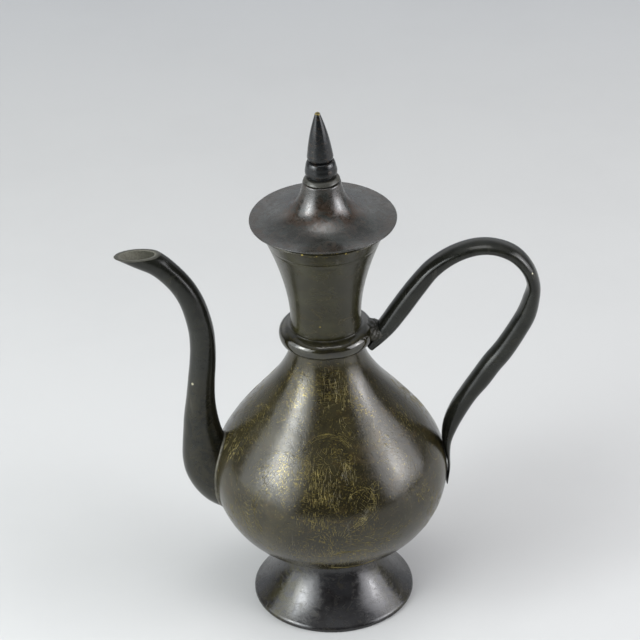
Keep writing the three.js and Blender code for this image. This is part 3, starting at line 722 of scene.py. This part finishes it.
footPart = {
    "waist": 20.2, "rimHeight": 1.8, "rimWidth": 2.4, "wall": 1.2, "flare": 1.75, "columns": 240,
    "rows": 60, "waver": 0.1, "seed": 5, "wear": 0.35, "insideTop": 0.3, "insideFrom": 1.6,
    "rimInside": [(0, 1.2), (0.25, 0.3), (0.6, 0)],
    "rimOutside": [(0.5, 0), (0.12, 0.2), (0, 0.6), (0, 1.2), (0.05, 1.6)],
    "stains": [(-52, 16, 1), (60, 14, 0.6), (170, 40, 0.5)],
}
footLow, footHigh = boxOf("foot")
footRadius, footTop = (footHigh[0] - footLow[0]) / 2, footHigh[2]


def makeFoot():
    # radius = waist + (rim - waist) * (1 - share)^flare, up from a short upright rim.
    part = footPart
    height = np.linspace(part["rimHeight"], footTop, part["rows"])
    share = (height - part["rimHeight"]) / (footTop - part["rimHeight"])
    radius = part["waist"] + (footRadius - part["waist"]) * (1 - share) ** part["flare"]
    outer = np.stack([radius, height], 1)
    inner = offsetLine(outer, -part["wall"])[::-1]
    inner[0, 1] = footTop - part["insideTop"]
    inner = inner[inner[:, 1] > part["rimHeight"] * part["insideFrom"]]
    rim = [(footRadius - part["rimWidth"] + out, up) for out, up in part["rimInside"]]
    rim += [(footRadius - inward, up) for inward, up in part["rimOutside"]]
    outline = np.vstack([rim, outer[1:], inner])
    points, grain = turnedGrid(outline, part["columns"], part["waver"], part["seed"])
    wear = np.zeros(points.shape[:2])
    wear[len(part["rimInside"]) + 1:len(rim) + 1] = part["wear"]
    angle = degreesRound(points)
    stain = sum(much * np.exp(-((angle - at) / wide) ** 2) for at, wide, much in part["stains"])
    gridPiece("footShell", points, "pot", footPatina, ("foot",), grain=grain,
              marks={"wear": wear, "stain": stain})


neckPart = {"radius": 15.7, "straight": 10.5, "wall": 1.2, "flare": 1.75, "columns": 240, "rows": 110,
            "tooledLine": 188.5, "tooledDepth": 0.22, "tooledWidth": 0.35, "waver": 0.08, "seed": 7,
            "wear": 0.6, "wornRows": 6}
neckLow, neckHigh = boxOf("neck")
neckMouth = (neckHigh[0] - neckLow[0]) / 2
neckBottom, neckTop = neckLow[2], neckHigh[2]


def neckRadius(height):
    # radius = throat + (mouth - throat) * share^flare, above a short straight stretch.
    start = bodyTop + neckPart["straight"]
    share = np.clip((height - start) / (neckTop - start), 0, 1)
    return neckPart["radius"] + (neckMouth - neckPart["radius"]) * share ** neckPart["flare"]


def makeNeck():
    part = neckPart
    height = np.linspace(neckBottom, neckTop, part["rows"])
    radius = neckRadius(height)
    groove = part["tooledDepth"] * np.exp(-((height - part["tooledLine"]) / part["tooledWidth"]) ** 2)
    outer = np.stack([radius - groove, height], 1)
    inner = np.stack([radius - part["wall"], height], 1)[::2][::-1]
    points, grain = turnedGrid(np.vstack([outer, inner]), part["columns"], part["waver"], part["seed"])
    wear = np.zeros(points.shape[:2])
    wear[part["rows"] - part["wornRows"]:part["rows"] + 2] = part["wear"]
    gridPiece("neckShell", points, "pot", neckPatina, ("neck",), grain=grain,
              marks={"wear": wear})


neckRimPart = {"columns": 240, "sides": 20, "overhang": 0.3, "waver": 0.03, "seed": 9, "wear": 0.22,
               "worn": 3}


def makeNeckRim():
    # A round wire; its bare-brass wear comes and goes as a sine three times round, and is partly painted
    # glints where the front of the rim shows under the lid.
    part = neckRimPart
    low, high = boxOf("neck_rim")
    wire = (high[2] - low[2]) / 2
    angle = ringAngles(part["sides"])
    middle = neckMouth + part["overhang"] + wire
    outline = np.stack([middle + wire * np.cos(angle), (low[2] + high[2]) / 2 + wire * np.sin(angle)], 1)
    points, grain = turnedGrid(outline, part["columns"], part["waver"], part["seed"])
    # Partly wear and partly painted glints: the bare brass spots on the rim stand in for its glints.
    wear = part["wear"] * (1 + np.sin(ringAngles(part["columns"]) * part["worn"] + 1))
    gridPiece("neckRimRing", points, "pot", neckPatina, ("neck_rim",), grain=grain,
              marks={"wear": np.tile(wear, (part["sides"], 1))})


collarPart = {
    "edge": [(1.9, 0), (0.9, 0.05), (0.25, 0.18), (0, 0.36), (0.05, 0.5), (0.4, 0.66), (1.3, 0.8),
             (2.6, 0.9)],
    "lip": [(0.8, 0.45), (0.55, 0.1), (0.1, 0)], "tucked": 0.5, "columns": 240, "waver": 0.06, "seed": 13,
    "dent": (7, 0.45, 9), "dentBand": 2, "wear": 0.25, "wornBand": 0.6, "insideLift": 2, "sunk": 0.2,
}
collarLow, collarHigh = boxOf("collar_ring")
collarRadius = (collarHigh[0] - collarLow[0]) / 2
collarBottom, collarTop = collarLow[2], collarHigh[2]


def makeCollar():
    # A rounded ring with a slope that rises to a narrow lip round the neck, and one shallow dent.
    part = collarPart
    tall = collarTop - collarBottom
    inside = neckPart["radius"] - part["tucked"]
    edge = [(collarRadius - inward, collarBottom + tall * share) for inward, share in part["edge"]]
    lip = [(neckPart["radius"] + out, collarTop - down) for out, down in part["lip"]]
    seat = bodyRadius(collarBottom) - part["sunk"]
    outline = [(inside, collarBottom + part["insideLift"]), (seat, collarBottom), *edge, *lip,
               (inside, collarTop)]
    points, grain = turnedGrid(softenedLoop(outline), part["columns"], part["waver"], part["seed"])
    around, depth, spread = part["dent"]
    radius = radiusOf(points)
    dent = depth * np.exp(-((degreesRound(points) - around) / spread) ** 2)
    dent = dent * (radius > collarRadius - part["dentBand"])
    points[..., :2] *= (1 - dent / radius)[..., None]
    gridPiece("collarRing", points, "pot", collarPatina, ("collar_ring",), grain=grain,
              marks={"wear": part["wear"] * (radius > collarRadius - part["wornBand"])})


makeFoot()
makeNeck()
makeNeckRim()
makeCollar()
print("foot, neck and collar made")

# Shares of the way from the belly to the mouth, outward and up. Radii and slimness are by the
# place along the tube. The stain fades upward from a height, over a length.
spoutPart = {
    "shares": [
        (-0.69, -0.096), (-0.4, -0.072), (-0.18, -0.04), (-0.02, 0.018), (0.075, 0.078), (0.13, 0.14),
        (0.155, 0.205), (0.16, 0.27), (0.145, 0.345), (0.115, 0.43), (0.08, 0.51), (0.065, 0.58),
        (0.075, 0.65), (0.13, 0.727), (0.21, 0.793), (0.34, 0.857), (0.515, 0.913), (0.715, 0.96),
        (1.0, 0.999), (1.4, 1.055),
    ],
    "reach": 27.8, "mouthHeight": 182.4, "mouthSlope": 2.3, "wall": 1.5, "columns": 96, "rows": 260,
    "radii": [(0, 12.6), (0.12, 13.9), (0.18, 13.3), (0.3, 8.57), (0.45, 6.1), (0.6, 5.7), (0.85, 5.1),
              (0.95, 5.5), (1, 5.5)],
    "slimness": [(0, 0.82), (0.2, 0.82), (0.4, 1), (1, 1)],
    "samples": 1600, "rootBelow": 120, "mouthAfter": 0.7, "lift": 0.12, "rounded": 0.85, "length": 170,
    "wear": 0.3, "dustEdge": 0.35, "stain": (128, 40, 0.5), "sunk": 0.1,
}


def graded(pairs, t):
    # Smooth steps through (place, value) pairs.
    places, values = np.array(pairs, float).T
    first = np.clip(np.searchsorted(places, t, side="right") - 1, 0, len(places) - 2)
    share = np.clip((t - places[first]) / (places[first + 1] - places[first]), 0, 1)
    share = share * share * (3 - 2 * share)
    return values[first] + (values[first + 1] - values[first]) * share


def evened(pairs, t, reach=0.05, count=9):
    # The mean of the stepped values over a short stretch, so the outline has no bumps.
    shifts = np.linspace(-reach, reach, count)
    return sum(graded(pairs, np.clip(t + shift, 0, 1)) for shift in shifts) / count


def spoutSkin(offset):
    # Each line along the tube is cut where it leaves the body and where it meets the mouth's
    # plane, and spread evenly between the two.
    part = spoutPart
    t = np.linspace(0, 1, part["samples"])
    mouthX = -(bellyRadius + part["reach"])
    rise = part["mouthHeight"] - bellyHeight
    stations = [(-(bellyRadius + part["reach"] * out), bellyHeight + rise * up) for out, up in part["shares"]]

    def size(at, line):
        radius = evened(part["radii"], at)
        return radius + offset, radius * evened(part["slimness"], at) + offset

    dense = sweptGrid(stations, t, size, part["columns"])
    outBy = radiusOf(dense) - bodyRadius(dense[..., 2]) - part["sunk"]
    slope = math.tan(math.radians(part["mouthSlope"]))
    above = dense[..., 2] - part["mouthHeight"] - slope * (dense[..., 0] - mouthX)
    within = (outBy < 0) & (dense[..., 2] < part["rootBelow"])
    begin = t[len(t) - 1 - np.argmax(within[::-1], axis=0)]
    finish = t[np.argmax((above > 0) & (t[:, None] > part["mouthAfter"]), axis=0)]
    place = begin + (finish - begin) * np.linspace(0, 1, part["rows"])[:, None]
    columns = range(part["columns"])
    fetch = [[np.interp(place[:, j], t, dense[:, j, k]) for j in columns] for k in range(3)]
    return np.stack([np.array(axis).T for axis in fetch], -1)


def makeSpout():
    part = spoutPart
    outer = spoutSkin(0)
    inner = spoutSkin(-part["wall"])[::-1]
    middle = (outer[-1] + inner[0]) / 2
    lift = np.array([0, 0, part["lift"]])
    edges = [ring * part["rounded"] + middle * (1 - part["rounded"]) + lift for ring in (outer[-1], inner[0])]
    points = np.vstack([outer, edges[:1], (middle + lift)[None], edges[1:], inner])
    far = part["length"]
    run = np.concatenate([np.linspace(0, far, len(outer)), [far + 1, far + 2, far + 3],
                          np.linspace(far + 3, 0, len(inner))])
    grain = flowAlong(run, np.pi / 2 - ringAngles(part["columns"]))
    wear = np.zeros(points.shape[:2])
    wear[len(outer) - 3:len(outer) + 4] = part["wear"]
    dusty = np.zeros(points.shape[:2])
    dusty[len(outer) - 1:] = part["dustEdge"]
    dusty[len(outer) + 2:] = 1
    height, fade, most = part["stain"]
    stain = np.clip((height - points[..., 2]) / fade, 0, most)
    gridPiece("spoutTube", points, "pot", barPatina, ("spout",), grain=grain,
              marks={"wear": wear, "dusty": dusty, "stain": stain})


spoutBrazePart = {"wider": 0.9, "row": 3, "sunk": 0.35, "proud": 0.12, "swell": 0.15, "over": 0.02,
                  "lumps": 0.25, "wear": 0.3}


def makeSpoutBraze():
    # A low fillet along the line where the spout meets the body, with slow sines for its lumps.
    part = spoutBrazePart
    skin = spoutSkin(0)
    foot, up = skin[0], skin[part["row"]]
    wider = spoutSkin(part["wider"])[0]
    outward = foot * (1, 1, 0)
    outward /= np.linalg.norm(outward, axis=1)[:, None]
    number = np.arange(len(foot))[:, None]
    lump = 1 + part["lumps"] * np.sin(number * 0.9) * np.sin(number * 0.37)
    points = np.stack([
        wider - outward * part["sunk"], wider + outward * part["proud"],
        (wider + up) / 2 + outward * part["swell"] * lump, up + (up - foot) * part["over"],
        foot - outward * part["sunk"],
    ])
    gridPiece("spoutBraze", points, "pot", brazeMetal, ("spout_braze",),
              marks={"wear": np.full(points.shape[:2], part["wear"])})


makeSpout()
makeSpoutBraze()
print("spout made")

# The handle's stations: a share outward, a share up, and how thick the bar is. Above, outward goes
# from the collar to the farthest point and up from the body's top; below, both from the belly.
handlePart = {
    "above": [
        (-0.028, -0.14, 5.2), (0.025, -0.04, 7), (0.086, 0.085, 8.3), (0.17, 0.29, 9), (0.274, 0.545, 8.7),
        (0.375, 0.758, 7.8), (0.505, 0.915, 6.8), (0.642, 0.993, 6.2), (0.76, 0.985, 6), (0.876, 0.895, 6.4),
        (0.962, 0.72, 6), (1, 0.515, 6), (0.985, 0.33, 7.5), (0.956, 0.16, 8.5),
    ],
    "below": [
        (0.825, 0.623, 8.8), (0.665, 0.53, 9.2), (0.52, 0.463, 9.3), (0.4, 0.4, 9.2), (0.265, 0.334, 8.3),
        (0.136, 0.258, 8.1), (0.043, 0.183, 6.9), (0, 0.115, 4.6),
    ],
    "reach": 38.3, "top": 181.9, "width": 11, "tailStart": 5, "tailStartThick": 2, "tailEnd": 59.5,
    "tail": 1.2, "square": 1.08, "columns": 72, "rows": 420, "length": 330, "ends": (0.55, 0.86),
    "clear": 0.12, "tailClear": 0.3, "collarBelow": 0.3, "collarSlope": [(0, 0), (5.6, 1.4)],
    "collarTopRadius": 16.9,
}


def handleStations():
    part = handlePart
    farthest = bellyRadius + part["reach"]
    across, rise = farthest - collarRadius, part["top"] - bodyTop
    stations = [(collarRadius + across * out, bodyTop + rise * up, thick) for out, up, thick in part["above"]]
    across, rise = part["reach"], part["top"] - bellyHeight
    stations += [(bellyRadius + across * out, bellyHeight + rise * up, thick)
                 for out, up, thick in part["below"]]
    start = bellyHeight + part["tailStart"]
    tail = ((start, part["tailStartThick"]), (bellyHeight, part["tail"]), (part["tailEnd"], part["tail"]))
    for height, thick in tail:
        onBody = float(bodyRadius(np.array(height))) + part["tailClear"] + part["tail"] / 2
        stations.append((onBody, height, thick))
    return stations


def potRadius(height):
    # Outside of the pot under the handle: the body or the collar, whichever is wider.
    radius = bodyRadius(height)
    inCollar = (height > collarBottom - handlePart["collarBelow"]) & (height < collarTop)
    heights = [collarBottom + up for up, inward in handlePart["collarSlope"]]
    radii = [collarRadius - inward for up, inward in handlePart["collarSlope"]]
    heights.append(collarTop)
    radii.append(handlePart["collarTopRadius"])
    return np.where(inCollar, np.maximum(radius, np.interp(height, heights, radii)), radius)


def handleSkin(rows, columns, start=0.0, finish=1.0, thicker=0.0, wider=0.0):
    # Thicker and wider add to the half sizes; a row of numbers gives each ring its own. Two more
    # rings close each end, drawn in to round it. The skin is pushed out of the pot where it dips in.
    t = np.linspace(start, finish, rows)
    t = np.concatenate([[start, start], t, [finish, finish]])
    draw = np.ones(len(t))
    draw[[0, -1]], draw[[1, -2]] = handlePart["ends"]
    thicker, wider = (np.interp(t, np.linspace(start, finish, np.size(sizes)), np.atleast_1d(sizes))
                      for sizes in (thicker, wider))

    def size(at, line):
        return (line[:, 2] / 2 + thicker) * draw, (handlePart["width"] / 2 + wider) * draw

    points = sweptGrid(handleStations(), t, size, columns, handlePart["square"])
    least = potRadius(points[..., 2]) + handlePart["clear"]
    points[..., :2] *= np.maximum(least / radiusOf(points), 1)[..., None]
    return points


def makeHandle():
    points = handleSkin(handlePart["rows"], handlePart["columns"])
    run = np.linspace(0, handlePart["length"], len(points))
    grain = flowAlong(run, np.pi / 2 - ringAngles(handlePart["columns"]))
    gridPiece("handleBar", points, "pot", barPatina, ("handle",), loop=False, grain=grain)


# Solder at the two ends of the handle. Above, a lump that fills the corner between collar and bar:
# each station is how far out from the collar's edge, how far above its bottom, and how thick.
upperSolder = {
    "stations": [(-5.5, 3.4, 7), (-2, 3.2, 8.2), (0.8, 2.9, 8.2), (3.0, 3.3, 6.2), (4.7, 4.4, 3.8)],
    "wide": (7.4, 7, 6.4, 5.9, 4.6), "rows": 60, "columns": 96, "lumps": 0.5, "wear": 0.3,
}
lowerSolder = {
    "skin": {"rows": 44, "columns": 96, "start": 0.93, "finish": 1.0, "thicker": (-0.4, -0.3, -0.35, -0.2),
             "wider": (-0.3, 0.5, 0.6, 0.5)},
    "lumps": 0.3, "wear": 0.2,
}


def lumpy(points, lumps):
    # lump = a product of sines along and round the piece, pushed outward from its middle line.
    rows = np.arange(points.shape[0])[:, None]
    around = ringAngles(points.shape[1])
    lump = np.sin(5 * around + rows * 0.21) * np.sin(rows * 0.33 + 3 * around + 1)
    lump = lump + 0.5 * np.sin(11 * around - rows * 0.4)
    away = points - points.mean(1, keepdims=True)
    away /= np.linalg.norm(away, axis=-1, keepdims=True) + 1e-9
    return points + away * (lump * lumps * 0.5)[..., None]


def makeHandleBrazes():
    def size(at, line):
        return line[:, 2] / 2, np.interp(at, np.linspace(0, 1, len(upperSolder["wide"])), upperSolder["wide"])

    stations = [(collarRadius + out, collarBottom + up, thick) for out, up, thick in upperSolder["stations"]]
    upper = sweptGrid(stations, np.linspace(0, 1, upperSolder["rows"]), size, upperSolder["columns"])
    lower = handleSkin(**lowerSolder["skin"])
    for name, node, points, part in (("handleUpperBraze", "handle_upper_braze", upper, upperSolder),
                                     ("handleLowerBraze", "handle_lower_braze", lower, lowerSolder)):
        gridPiece(name, lumpy(points, part["lumps"]), "pot", solderMetal, (node,), loop=False,
                  marks={"wear": np.full(points.shape[:2], part["wear"])})


makeHandle()
makeHandleBrazes()
print("handle made")

lidPart = {
    "wall": 0.8, "crown": 8.15, "curve": 4, "hole": 1.9, "columns": 240, "rows": 110, "crowding": 1.3,
    "bent": 1.6, "bentSpread": 60, "bentFrom": 18, "waver": 0.07, "seed": 17, "wear": 0.1,
    "stains": [(13.5, 4.5, 1), (30, 3, 0.5)], "edgeWidth": 0.35, "crownRound": 0.25, "hollowRound": 0.3,
    "edge": [(0.08, 0.68), (0, 0.4), (0, 0.12), (0.12, -0.04)],
}
lidLow, lidHigh = boxOf("lid_cap")
lidRadius = (lidHigh[0] - lidLow[0]) / 2
crownTop = lidHigh[2]
crownRise = crownTop - lidLow[2] - lidPart["wall"]
lidRimTop = crownTop - crownRise
lidFall = crownRise / (1 / (lidPart["crown"] - lidPart["curve"]) - 1 / (lidRadius - lidPart["curve"]))


def lidHeight(radius):
    # height = rim + fall * (1 / (r - c) - 1 / (rim radius - c)), a hyperbola up to the crown.
    return lidRimTop + lidFall * (1 / (radius - lidPart["curve"]) - 1 / (lidRadius - lidPart["curve"]))


def makeLid():
    part = lidPart
    radius = part["crown"] + (lidRadius - part["crown"]) * np.linspace(1, 0, part["rows"]) ** part["crowding"]
    outer = np.stack([radius, lidHeight(radius)], 1)
    inner = offsetLine(outer, -part["wall"])
    inner = inner[inner[:, 0] < lidRadius - part["edgeWidth"]][:-2][::-2]
    edge = [(lidRadius - part["edgeWidth"], lidRimTop - part["wall"])]
    edge += [(lidRadius - inward, lidRimTop - down) for inward, down in part["edge"]]
    under = crownTop - part["wall"]
    top = [(part["crown"] - part["crownRound"], crownTop), (part["hole"], crownTop), (part["hole"], under),
           (part["crown"] - part["wall"] - part["hollowRound"], under)]
    outline = np.vstack([edge, outer[1:-1], top, inner])
    points, grain = turnedGrid(outline, part["columns"], part["waver"], part["seed"])
    wear = np.zeros(points.shape[:2])
    wear[1:len(edge)] = part["wear"]
    radius = radiusOf(points)
    stain = sum(much * np.exp(-((radius - at) / wide) ** 2) for at, wide, much in part["stains"])
    # The thin rim is bent up a little at the front.
    toRim = np.clip((radius - part["bentFrom"]) / (lidRadius - part["bentFrom"]), 0, 1) ** 2
    points[..., 2] += part["bent"] * np.exp(-(degreesRound(points) / part["bentSpread"]) ** 2) * toRim
    gridPiece("lidCap", points, "lid", lidPatina, ("lid_cap",), grain=grain,
              marks={"wear": wear, "stain": stain})


bezelPart = {"wall": 1, "chamfer": 0.2, "straightFrom": 0.6, "rows": 20, "columns": 200, "waver": 0.05,
             "seed": 19, "wear": 0.2}


def makeBezel():
    part = bezelPart
    low, high = boxOf("lid_bezel")
    radius, bottom, top = (high[0] - low[0]) / 2, low[2], high[2]
    inside, cut = radius - part["wall"], part["chamfer"]
    rise = np.linspace(bottom + part["straightFrom"], top, part["rows"])
    outline = [(inside, bottom + cut), (inside + cut, bottom), (radius - cut, bottom), (radius, bottom + cut)]
    outline += [(radius, z) for z in rise] + [(inside, z) for z in rise[::-1]]
    points, grain = turnedGrid(np.array(outline), part["columns"], part["waver"], part["seed"])
    gridPiece("lidBezel", points, "lid", bareBrass, ("lid_bezel",), grain=grain,
              marks={"wear": np.full(points.shape[:2], part["wear"])})


# Sides of the finial's pieces: how far in from the widest line, and the share of the height.
finialPart = {
    "lean": 1.7, "bore": 1.8, "columns": 120, "waver": 0.03, "seed": 23,
    "seat": {"radius": 7.95, "bottom": 0.4, "height": 1.9, "dusty": 0.28, "side": [
        (0.2, 0), (0, 0.12), (0.1, 0.3), (0.5, 0.6), (0.9, 0.86), (1.2, 1)]},
    "bead": {"radius": 7, "bottom": 2.6, "height": 7.6, "dusty": 0, "side": [
        (1.3, 0), (0.7, 0.02), (0.3, 0.1), (0.05, 0.22), (0, 0.34), (0.15, 0.47), (0.4, 0.6), (0.55, 0.74),
        (0.9, 0.88), (1.3, 0.97), (2, 1)]},
    "spike": {"radius": 5.7, "bottom": 10.5, "height": 22.5, "base": 1.6, "bulge": 0.55, "tip": 1.2,
              "tipHeight": 0.8, "boreDeep": 10.3, "rows": 60, "wear": 0.75, "wornFrom": 3.5, "axis": 0.05,
              "seed": 29,
              "foot": [(1, 0), (0.4, 0.25), (0.1, 0.9)]},
}


def leaned(points):
    # Tips the finial over toward the spout, about the middle of the lid's crown.
    turn = math.radians(-finialPart["lean"])
    x, z = points[..., 0].copy(), points[..., 2].copy()
    points[..., 0] = x * math.cos(turn) + z * math.sin(turn)
    points[..., 2] = z * math.cos(turn) - x * math.sin(turn) + crownTop
    return points


def makeFinial():
    bore, columns, waver = finialPart["bore"], finialPart["columns"], finialPart["waver"]
    for name, node, label in (("finialSeat", "finial_seat", "seat"), ("finialBead", "finial_bead", "bead")):
        part = finialPart[label]
        bottom, height = part["bottom"], part["height"]
        side = [(part["radius"] - inward, bottom + height * share) for inward, share in part["side"]]
        loop = [(bore, bottom), *side, (bore, bottom + height)]
        points, grain = turnedGrid(softenedLoop(loop), columns, waver, finialPart["seed"])
        gridPiece(name, leaned(points), "lid", finialPatina, (node,), grain=grain,
                  marks={"dusty": np.full(points.shape[:2], part["dusty"])})
    # The spike: radius = straight taper + bulge * sin(pi * share), closed at the tip, hollow below.
    part = finialPart["spike"]
    share = np.linspace(0, 1, part["rows"])
    radius = part["radius"] + (part["tip"] - part["radius"]) * share + part["bulge"] * np.sin(share * np.pi)
    height = part["bottom"] + part["base"] + (part["height"] - part["tipHeight"] - part["base"]) * share
    top, deep = part["bottom"] + part["height"], part["bottom"] + part["boreDeep"]
    outline = [(part["axis"], deep), (bore - 0.05, deep), (bore, part["bottom"])]
    outline += [(part["radius"] - inward, part["bottom"] + up) for inward, up in part["foot"]]
    outline += [*zip(radius, height), (part["tip"] * 0.85, top - 0.4), (part["tip"] * 0.5, top - 0.1),
                (part["axis"], top)]
    points, grain = turnedGrid(np.array(outline), columns, waver, part["seed"])
    wear = np.clip((points[..., 2] - top + part["wornFrom"]) / 3, 0, 1) * part["wear"]
    gridPiece("finialSpike", leaned(points), "lid", finialPatina, ("finial_spike",), loop=False,
              grain=grain, marks={"wear": wear})


makeLid()
makeBezel()
makeFinial()
for node in ("finial_stud", "finial_washer", "finial_nut"):
    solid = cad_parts[node]
    solid.data.materials.clear()
    solid.data.materials.append(bareBrass)
print("lid made")

floorPart = {"size": 6.0, "lines": 41, "drop": 0.00005, "colour": (0.62, 0.622, 0.61),
             "far": (0.64, 0.67, 0.71), "farFrom": (0.35, 1.2), "mottle": (0.4, 0.4, 0.4), "mottled": 0.06,
             "rough": 0.75}


def makeFloor():
    mesh = bpy.data.meshes.new("floor")
    side = np.linspace(-0.5, 0.5, floorPart["lines"]) * floorPart["size"]
    x, y = np.meshgrid(side, side)
    index = np.arange(x.size).reshape(x.shape)
    quads = np.stack([index[:-1, :-1], index[:-1, 1:], index[1:, 1:], index[1:, :-1]], -1).reshape(-1, 4)
    points = np.stack([x, y, 0 * x - floorPart["drop"]], -1).reshape(-1, 3)
    mesh.from_pydata(points.tolist(), [], quads.tolist())
    floor = bpy.data.objects.new("floor", mesh)
    bpy.context.scene.collection.objects.link(floor)
    material, tree, shader, place = newMaterial("paleFloor")
    away = addNode(tree, "ShaderNodeSeparateXYZ", {0: place}).outputs[1]
    colour = blend(tree, step(tree, away, floorPart["farFrom"]), floorPart["colour"], floorPart["far"])
    mottled = step(tree, noise(tree, place, "floor"), (0.4, 0.7), 0, floorPart["mottled"])
    colour = blend(tree, mottled, colour, floorPart["mottle"])
    setInputs(tree, shader, {"Base Color": colour, "Roughness": floorPart["rough"]})
    mesh.materials.append(material)


# Soft boxes: direction they stand in from the pot (angle from the front, and above the floor),
# distance, width, height, watts and colour.
softBoxes = {
    "leftBox": (-66, 20, 1.05, 1.3, 0.85, 9.0, (0.93, 0.97, 1.0)),
    "leftInner": (-60, 24, 1.0, 0.56, 0.55, 3.8, (0.94, 0.98, 1.0)),
    "rightBox": (79, 20, 1.0, 0.89, 0.73, 7.0, (0.95, 0.95, 1.0)),
    "rightInner": (76, 20, 0.95, 0.46, 0.46, 1.2, (0.97, 0.96, 1.0)),
    "leftCore": (-62, 27, 0.95, 0.22, 0.32, 2.2, (0.95, 0.98, 1.0)),
    "rightCore": (76, 19, 0.95, 0.16, 0.26, 1.1, (0.97, 0.97, 1.0)),
    "topBox": (10, 84, 1.3, 0.7, 0.7, 4.6, (1.0, 1.0, 1.0)),
}
lampAim = Vector((0, 0, 0.1))


def makeLights():
    for name, (around, above, distance, wide, tall, watts, colour) in softBoxes.items():
        a, e = math.radians(around), math.radians(above)
        towards = Vector((math.sin(a) * math.cos(e), -math.cos(a) * math.cos(e), math.sin(e)))
        lamp = bpy.data.lights.new(name, "AREA")
        lamp.shape = "RECTANGLE"
        lamp.size, lamp.size_y = wide, tall
        lamp.energy = watts
        lamp.color = colour
        box = bpy.data.objects.new(name, lamp)
        box.location = lampAim + towards * distance
        box.rotation_mode = "QUATERNION"
        box.rotation_quaternion = towards.to_track_quat("Z", "Y")
        bpy.context.scene.collection.objects.link(box)


# The room round the pot: dark in front, a backdrop behind with a bright belt, and a pale ceiling.
# Each pair is where the part starts and where it is full, as a share of the direction's length.
roomPart = {
    "front": (0.045, 0.045, 0.048), "wall": (0.5, 0.52, 0.55), "belt": (0.98, 1.0, 1.03),
    "ceiling": (0.55, 0.56, 0.58), "backFrom": (0.25, 0.85), "ceilingFrom": (0.66, 0.88),
    "beltFrom": (0.12, 0.3), "beltTo": (0.46, 0.58),
}


def makeRoom():
    world = bpy.data.worlds.new("room")
    bpy.context.scene.world = world
    world.use_nodes = True
    tree = world.node_tree
    direction = addNode(tree, "ShaderNodeTexCoord").outputs["Generated"]
    _, toBack, upward = addNode(tree, "ShaderNodeSeparateXYZ", {0: direction}).outputs
    belt = times(tree, step(tree, upward, roomPart["beltFrom"]), step(tree, upward, roomPart["beltTo"], 1, 0))
    backdrop = blend(tree, belt, roomPart["wall"], roomPart["belt"])
    colour = blend(tree, step(tree, toBack, roomPart["backFrom"]), roomPart["front"], backdrop)
    colour = blend(tree, step(tree, upward, roomPart["ceilingFrom"]), colour, roomPart["ceiling"])
    setInputs(tree, tree.nodes["Background"], {"Color": colour, "Strength": 1.0})


# The camera looks down on the pot from the front, a long lens a little over a metre away.
cameraPart = {"place": (0, -1.0681, 0.82131), "aim": (-0.002645, 0.00987, 0.14014), "roll": 1.82,
              "lens": 160.95, "sensor": 36, "clip": (0.05, 50)}


def makeCamera():
    lens = bpy.data.cameras.new("camera")
    lens.lens, lens.sensor_width = cameraPart["lens"], cameraPart["sensor"]
    lens.clip_start, lens.clip_end = cameraPart["clip"]
    camera = bpy.data.objects.new("camera", lens)
    place, aim = Vector(cameraPart["place"]), Vector(cameraPart["aim"])
    back = (place - aim).normalized()
    right = Vector((0, 0, 1)).cross(back).normalized()
    up = back.cross(right)
    roll = math.radians(cameraPart["roll"])
    across = right * math.cos(roll) - up * math.sin(roll)
    upward = right * math.sin(roll) + up * math.cos(roll)
    camera.matrix_world = Matrix((across, upward, back)).transposed().to_4x4()
    camera.location = place
    bpy.context.scene.collection.objects.link(camera)
    bpy.context.scene.camera = camera


bpy.context.scene.view_settings.view_transform = "Standard"
makeFloor()
makeLights()
makeRoom()
makeCamera()
print("floor, light and camera made")
